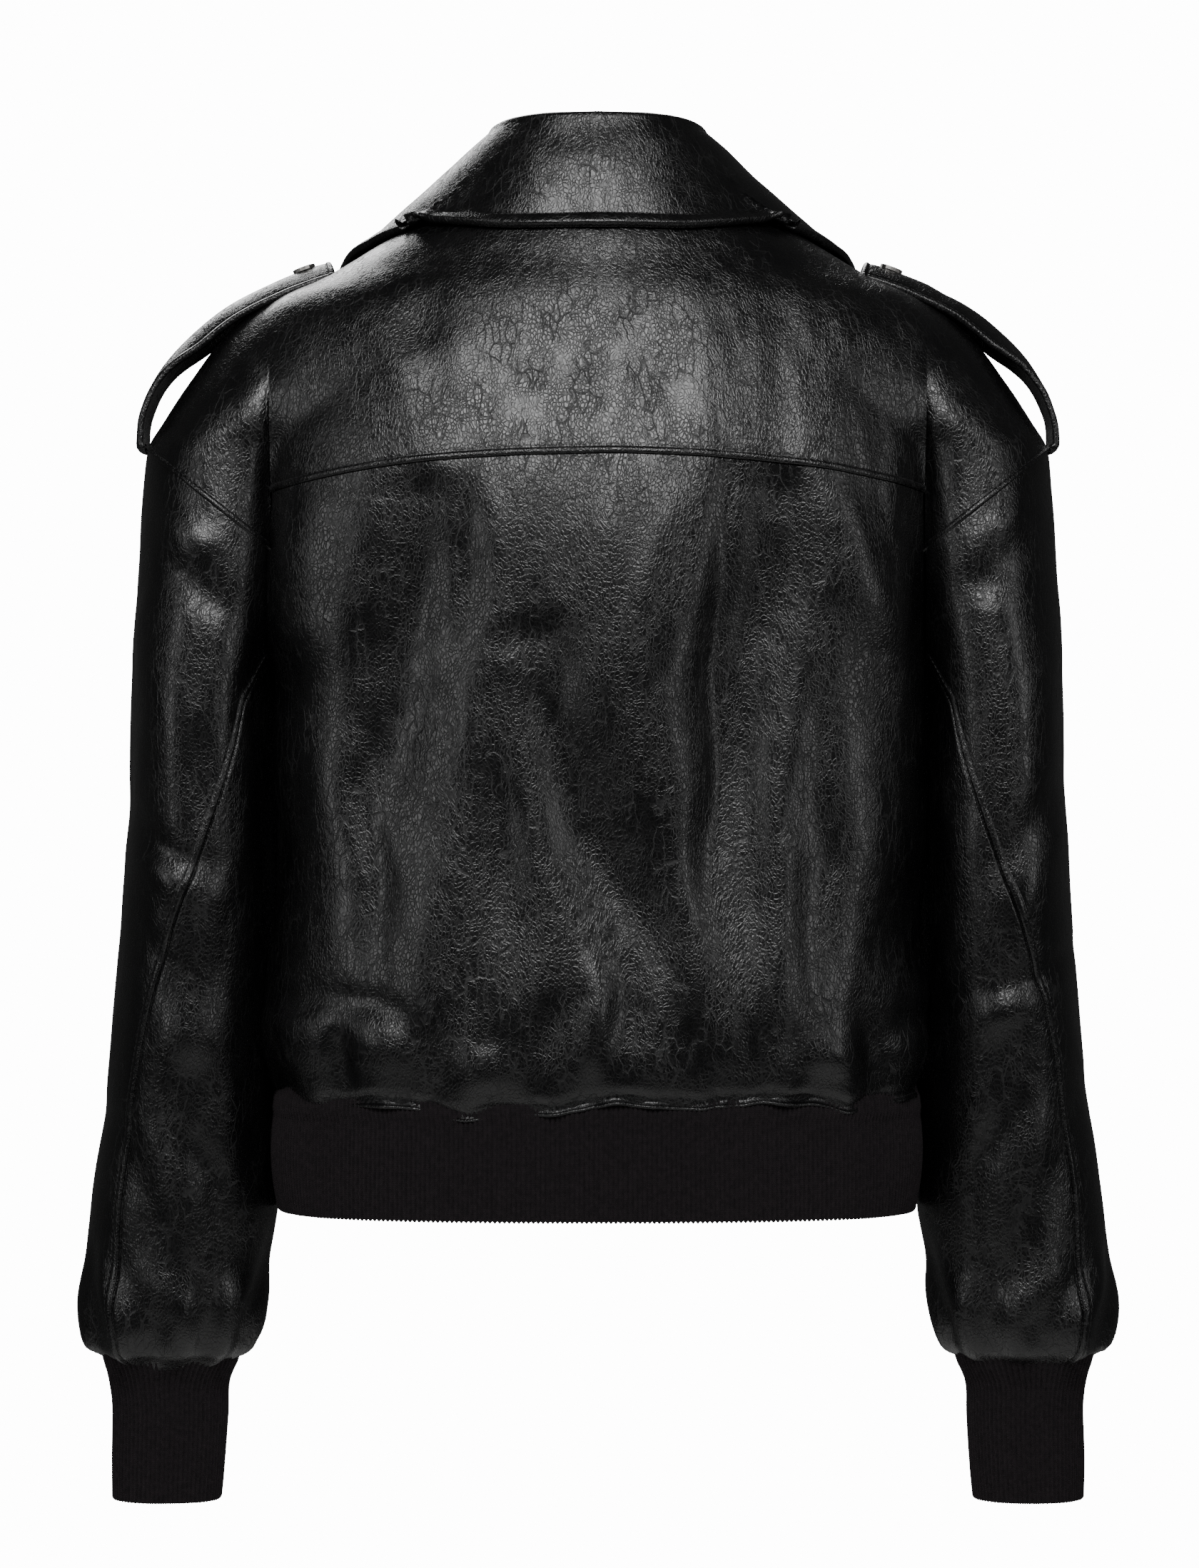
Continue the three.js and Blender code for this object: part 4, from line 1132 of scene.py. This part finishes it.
neck_seam = curve_through([
    [0, 60.5, 1.5], [30, 55.5, 1.5], [55, 40.5, 1.5], [70, 17, 1],
    [72.5, -6, -1], [70, -28, -6], [64, -46, -12], [60, -58, -17],
])
roll_line = curve_through([
    [0, 62, 31], [30, 57, 30.5], [50, 38, 29], [59, 8, 25],
    [60, -30, 11], [54, -66, -18], [47, -98, -60], [42, -110, -88],
])
fall_edge = curve_through([
    [0, 79, -31], [50, 72, -31], [85, 50, -29], [110, 24, -27.5],
    [128, 0, -32], [142, -24, -40], [150, -69, -66], [148, -95, -108], [139, -113, -150],
])


def outside(P):
    x, y, z = np.abs(P[..., 0]), P[..., 1], P[..., 2]
    return np.abs(y) - body_depth(x, z, np.where(y < 0, -1, 1))


def stand_off(P, clearance):
    """Moves points off the body until they are at least this far outside it."""
    for _ in range(4):
        here = outside(P)
        rise = np.stack([(outside(P + 0.5 * axis) - here) / 0.5 for axis in np.eye(3)], axis=-1)
        size = np.linalg.norm(rise, axis=-1)
        short = np.clip(clearance - here / size, 0, None) * smooth((2 - P[..., 2]) / 10)
        P = P + rise / size[..., None] * short[..., None]
    return P


def collar():
    share = both_ends_close(150, 1.6)
    t, hand = np.abs(share)[None], np.where(share < 0, -1, 1)[None, :, None]
    fold, edge = roll_line(t), fall_edge(t)
    out = (edge - fold) * [1, 1, 0]
    out /= np.linalg.norm(out, axis=-1, keepdims=True)
    v = np.linspace(0, 1, 90)[:, None]
    fall = mix(fold, edge, v[..., None]) + out * 3.2 * (1 - 0.6 * v[..., None])
    fall[..., 2] += 7 * np.sin(np.pi * v) * t
    fall = stand_off(fall, 5.0)
    turn = np.radians(np.linspace(180, 8, 14))[:, None, None]
    up = np.array([0, 0, 1.0])
    rolled = fold + out * (1.1 + 2.1 * np.cos(turn)) + up * 2.6 * np.sin(turn)
    tucked = fold - out * 1.0 - up * np.linspace(5, 0.6, 4)[:, None, None]
    P = np.concatenate([tucked, rolled, fall]) * np.concatenate([hand, hand * 0 + 1, hand * 0 + 1], axis=2)

    def relief(Q):
        x, z = Q[..., 0], Q[..., 2]
        run = x + 0.6 * np.abs(Q[..., 1]) * np.sign(x)
        waves = 1.0 * noise(run, z * 0.6, 34, 91) + 0.45 * noise(run, z * 0.7, 13, 92)
        return waves * smooth((30 - z) / 14) + 1.4 * np.exp(-(((x - 10) / 34) ** 2) - ((z - 6) / 14) ** 2)

    panel("collar_fall", P, lambda Q: np.stack([0 * Q[..., 0], 0 * Q[..., 0] - 30, Q[..., 2] - 60], axis=-1),
          leather, "shell", ["collar_fall"], [None] + [COLLAR_SEWN] * 3, relief=relief, step=2.4, welt=1.0,
          thickness=lambda far: mix(1.1, 3.0, smooth((far[0] - 8) / 14)))

    v = np.linspace(0, 1, 30)[:, None, None]
    P = mix(neck_seam(t), roll_line(t * 5 / 7) - up * 1.0, v)
    P = P * np.concatenate([hand, hand * 0 + 1, hand * 0 + 1], axis=2)
    panel("collar_stand", P, lambda Q: Q * [0, 0, 1], leather, "shell", ["collar_stand"],
          [None, None, "turned", "turned"], step=3, thickness=1.9,
          relief=lambda Q: 0.5 * noise(Q[..., 0] + Q[..., 1], Q[..., 2], 18, 95))


def lapels():
    V, U = spread(0, 1, 140, 0, 1, 80)
    inner_z = mix(-96, BREAK + 2, V)
    x = mix(neck_edge(inner_z), mix(114, FRONT_EDGE + 5, V), U)
    z = mix(inner_z, mix(-160, BREAK + 1, V), U)
    flat = on_body(x, z, -1)
    flat[..., 1] -= 3.4 * (1 - np.exp(-U * 14)) - 3.4
    for word, hand in HANDS:
        P = mirrored(flat, hand)
        panel(f"lapel_{word}", P, body_core, leather, "shell", [f"lapel_{word}"], [6.5, "turned", None, 6.5],
              step=2.6, thickness=2.2, lift=5.0, welt=0.9,
              relief=lambda Q: 0.8 * noise(Q[..., 0], Q[..., 2] * 0.6, 28, 97))


# ---------- small leather and cloth pieces ----------
strap_line = curve_through([
    [149, 0, -43.9], [164, 0, -48.6], [181, 0, -55.3], [209.5, 0, -70.5],
    [236, 0, -94], [248.5, 0, -112], [256.5, 0, -132], [257.6, 0, -145],
])


def epaulettes():
    u = np.linspace(0, 1, 160)
    line = strap_line(u)
    end = np.array([[257.4, 0, -147.6], [255.6, 0, -150.2], [252.4, 0, -151.2]])
    line = np.concatenate([line, end])
    across = np.linspace(-1, 1, 40)
    along = np.gradient(line, axis=0)
    up = np.stack([-along[:, 2], 0 * along[:, 0], along[:, 0]], axis=1)
    up /= np.linalg.norm(up, axis=1, keepdims=True)
    hang = mix(10.0, 2.2, smooth((line[:, 0] - 224) / 28))
    P = line[:, None, :] + np.array([0, 1, 0]) * across[None, :, None] * STRAP_WIDTH / 2
    P = P + up[:, None, :] * (0.6 - hang[:, None] * across[None] ** 2)[..., None]
    for word, hand in HANDS:
        def relief(Q):
            return 0.5 * noise(Q[..., 0] + Q[..., 2], Q[..., 1], 16, 101 + hand)

        panel(f"epaulette_{word}", mirrored(P, hand), lambda Q: Q * [0.6, 0, 1] + [0, 0, -80], leather,
              f"epaulette_{word}", [f"epaulette_{word}"], [3.6, None, 3.6, 3.6], relief=relief, step=2.4,
              thickness=3.0, welt=0.5)


def pockets():
    for word, hand in HANDS:
        def on_front(x, z):
            return mirrored(on_body(x, z, -1), hand)

        V, U = spread(0, 1, 40, 0, 1, 60)
        x = mix(42, 118, U)
        drop = 32 + 8 * (1 - np.sqrt((2 * U - 1) ** 2 + 0.002))
        flap, welt, bag = (f"pocket_{kind}_{word}" for kind in ("flap", "welt", "bag"))
        panel(flap, on_front(x, POCKET_TOP - V * drop), body_core, leather, flap, [flap], [4.5] * 4,
              relief=body_relief, step=2.4, lift=4.6, thickness=2.2, welt=0.5)
        panel(welt, on_front(mix(46, 114, U), POCKET_TOP - 2 - 10 * V), body_core, leather, "shell", [welt],
              ["turned", 2.6, "turned", "turned"], relief=body_relief, step=2.4, lift=1.8, thickness=1.4,
              roll=0.8)
        panel(bag, on_front(mix(50, 112, U), POCKET_TOP - 4 - POCKET_BAG_DEPTH * V), body_core, lining_cloth,
              "shell", [bag], [None] * 4, slot="lining", relief=body_relief, step=5, lift=-3.2, thickness=1.2)


def linings():
    cloth = dict(slot="lining", step=6.0, lift=-6.0, thickness=0.9)
    S, V = np.meshgrid(both_ends_close(120, 4), np.linspace(0, 1, 120))
    Z = mix(HEM + 6, -14, V)
    X = np.abs(S) * (np.minimum(FOLD_X - 6, outer_x(Z, 1)) - 3)
    P = np.stack([np.sign(S) * X, np.maximum(body_depth(X, Z, 1), 2.5), Z], axis=-1)
    panel("lining_back", P, body_core, lining_cloth, "shell", ["lining_back"], [None] * 4,
          relief=lining_relief, **cloth)
    Z, S = np.meshgrid(np.linspace(HEM + 6, -32, 120), ends_close(100, 3), indexing="ij")
    X = mix(neck_edge(Z) + 12, np.minimum(FOLD_X - 6, outer_x(Z, -1)) - 3, S)
    P = on_body(X, Z, -1)
    P[..., 1] = np.minimum(P[..., 1], -2.5)
    tube = sleeve_grid(lambda v: (0 * v - 180, 0 * v + 180), low=SLEEVE_END + 26, top=10)
    strip_z, strip_x = spread(HEM + 8, BREAK - 12, 60, 17, 45, 14)
    strip = np.stack([strip_x, -torso_depth(strip_x, strip_z, -1), strip_z], axis=-1)
    for word, hand in HANDS:
        front, facing, inside = (f"{k}_{word}" for k in ("lining_front", "front_facing", "sleeve_lining"))
        panel(front, mirrored(P, hand), body_core, lining_cloth, "shell", [front], [None] * 4,
              relief=lining_relief, **cloth)
        panel(facing, mirrored(strip, hand), body_core, leather, "shell", [facing], ["turned"] * 4,
              lift=-4.4, thickness=1.0, roll=0.7, step=5)
        panel(inside, mirrored(tube, hand), arm_core, lining_cloth, f"sleeve_{word}", [inside], [None] * 4,
              closed=True, **{**cloth, "lift": -8.0})


def lining_relief(P):
    """The lining follows the folds of the leather in front of it, with ripples of its own."""
    ripples = noise(P[..., 0] + P[..., 1], P[..., 2] * 0.4, 24, 111)
    return np.minimum(body_relief(P), 1.5) + 0.8 * ripples - 1.3


def neck_details():
    V, U = spread(-3, 3, 12, -1, 1, 60)
    P = np.stack([25 * U, 53 - 4.5 * (1 - U**2), V], axis=-1)
    panel("hanging_loop", P, lambda Q: Q * [0, 0, 1], leather, "shell", ["hanging_loop"],
          ["turned", "turned", None, None], step=1.2, thickness=1.2, roll=0.5)
    V, U = spread(12, 26, 20, -15, 15, 30)
    P = np.stack([U, 55.3 + 0 * U, V], axis=-1)
    panel("neck_label", P, lambda Q: Q * [1, 0, 1] + [0, 90, 0], lining_cloth, "shell", ["neck_label"],
          [1.6, 1.6, 1.6, 1.6], slot="lining", step=1.5, thickness=0.8, roll=0.3, welt=0.15)


def zip_end():
    """The woven patch that closes the tapes' lower end behind the zip box."""
    V, U = spread(WAIST_END + 0.4, -554, 14, -14, 14, 24)
    P = np.stack([U, -124.6 + 0 * U, V], axis=-1)
    panel("zip_end_patch", P, lambda Q: Q * [1, 0, 1], tape_cloth, "shell", (),
          [1.6, 1.6, 1.6, 1.6], slot="zip_tape", step=1.5, thickness=1.0, roll=0.3, welt=0.1)


# ---------- stitching ----------
STITCH = {"Spacing": 3.8 * MM, "Length": 2.9 * MM, "Thread": 0.5 * MM}


def stitch_tree():
    """Short rounded stitches, evenly spaced along sewn lines and lying flat on the leather."""
    tree, entry, end = geometry_tree("stitches", STITCH)
    new, link = tree.nodes.new, tree.links.new
    points = spaced_points(tree, entry, "Spacing")
    bead = new("GeometryNodeMeshUVSphere")
    bead.inputs["Segments"].default_value = 6
    bead.inputs["Rings"].default_value = 4
    bead.inputs["Radius"].default_value = 0.5
    turned = new("FunctionNodeAlignRotationToVector")
    turned.axis = "Z"
    link(points.outputs["Tangent"], turned.inputs["Vector"])
    size = new("ShaderNodeCombineXYZ")
    for k, label in enumerate(("Thread", "Thread", "Length")):
        link(entry.outputs[label], size.inputs[k])
    put = new("GeometryNodeInstanceOnPoints")
    link(points.outputs["Points"], put.inputs["Points"])
    link(bead.outputs["Mesh"], put.inputs["Instance"])
    link(turned.outputs[0], put.inputs["Rotation"])
    link(size.outputs[0], put.inputs["Scale"])
    painted_end(tree, put.outputs[0], thread, end)
    return tree


def stitching():
    tree = stitch_tree()
    for body, rows in sewn_rows.items():
        base = drawn_lines("sewn_lines", [place(points + 0.02 * outward) for points, outward in rows])
        obj = grown(base, tree, STITCH, f"stitching_{body}")
        settle(obj, body, ())


# ---------- zip ----------
TOOTH_PITCH = 3.0
CHAIN_LOW, CHAIN_Y = -561.5, -128.3


def zip_teeth():
    """Cast teeth on each tape, from one eight-sided tooth repeated up the chain."""
    tree, entry, end = geometry_tree("zip_chain", {"Pitch": TOOTH_PITCH * MM})
    new, link = tree.nodes.new, tree.links.new
    points = spaced_points(tree, entry, "Pitch")
    tooth = new("GeometryNodeMeshCylinder")
    tooth.inputs["Vertices"].default_value = 8
    tooth.inputs["Radius"].default_value = 0.5
    tooth.inputs["Depth"].default_value = 1.0
    put = new("GeometryNodeInstanceOnPoints")
    put.inputs["Scale"].default_value = (4.6 * MM, 2.7 * MM, 1.35 * MM)
    link(points.outputs["Points"], put.inputs["Points"])
    link(tooth.outputs["Mesh"], put.inputs["Instance"])
    painted_end(tree, put.outputs[0], nickel, end)
    for word, hand in HANDS:
        low = CHAIN_LOW + (TOOTH_PITCH / 2 if hand > 0 else 0)
        line = place(np.array([[hand * 1.5, CHAIN_Y, low], [hand * 1.5, CHAIN_Y, BREAK - 8]]))
        obj = grown(drawn_lines("tooth_line", [line]), tree, {"Pitch": TOOTH_PITCH * MM}, f"zip_chain_{word}")
        settle(obj, "shell", [f"zip_teeth_{word}"])


def carried_over():
    """CAD pieces whose shape stays: metal and tape get their finishes."""
    for name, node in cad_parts.items():
        if not node.hide_render:
            finish = tape_cloth if "tape" in name else nickel
            node.data.materials.clear()
            node.data.materials.append(finish)


back_yoke()
shoulders()
back_panel()
fronts()
sleeves()
cuffs()
waistband()
collar()
lapels()
epaulettes()
pockets()
linings()
neck_details()
zip_end()
zip_teeth()
stitching()
carried_over()
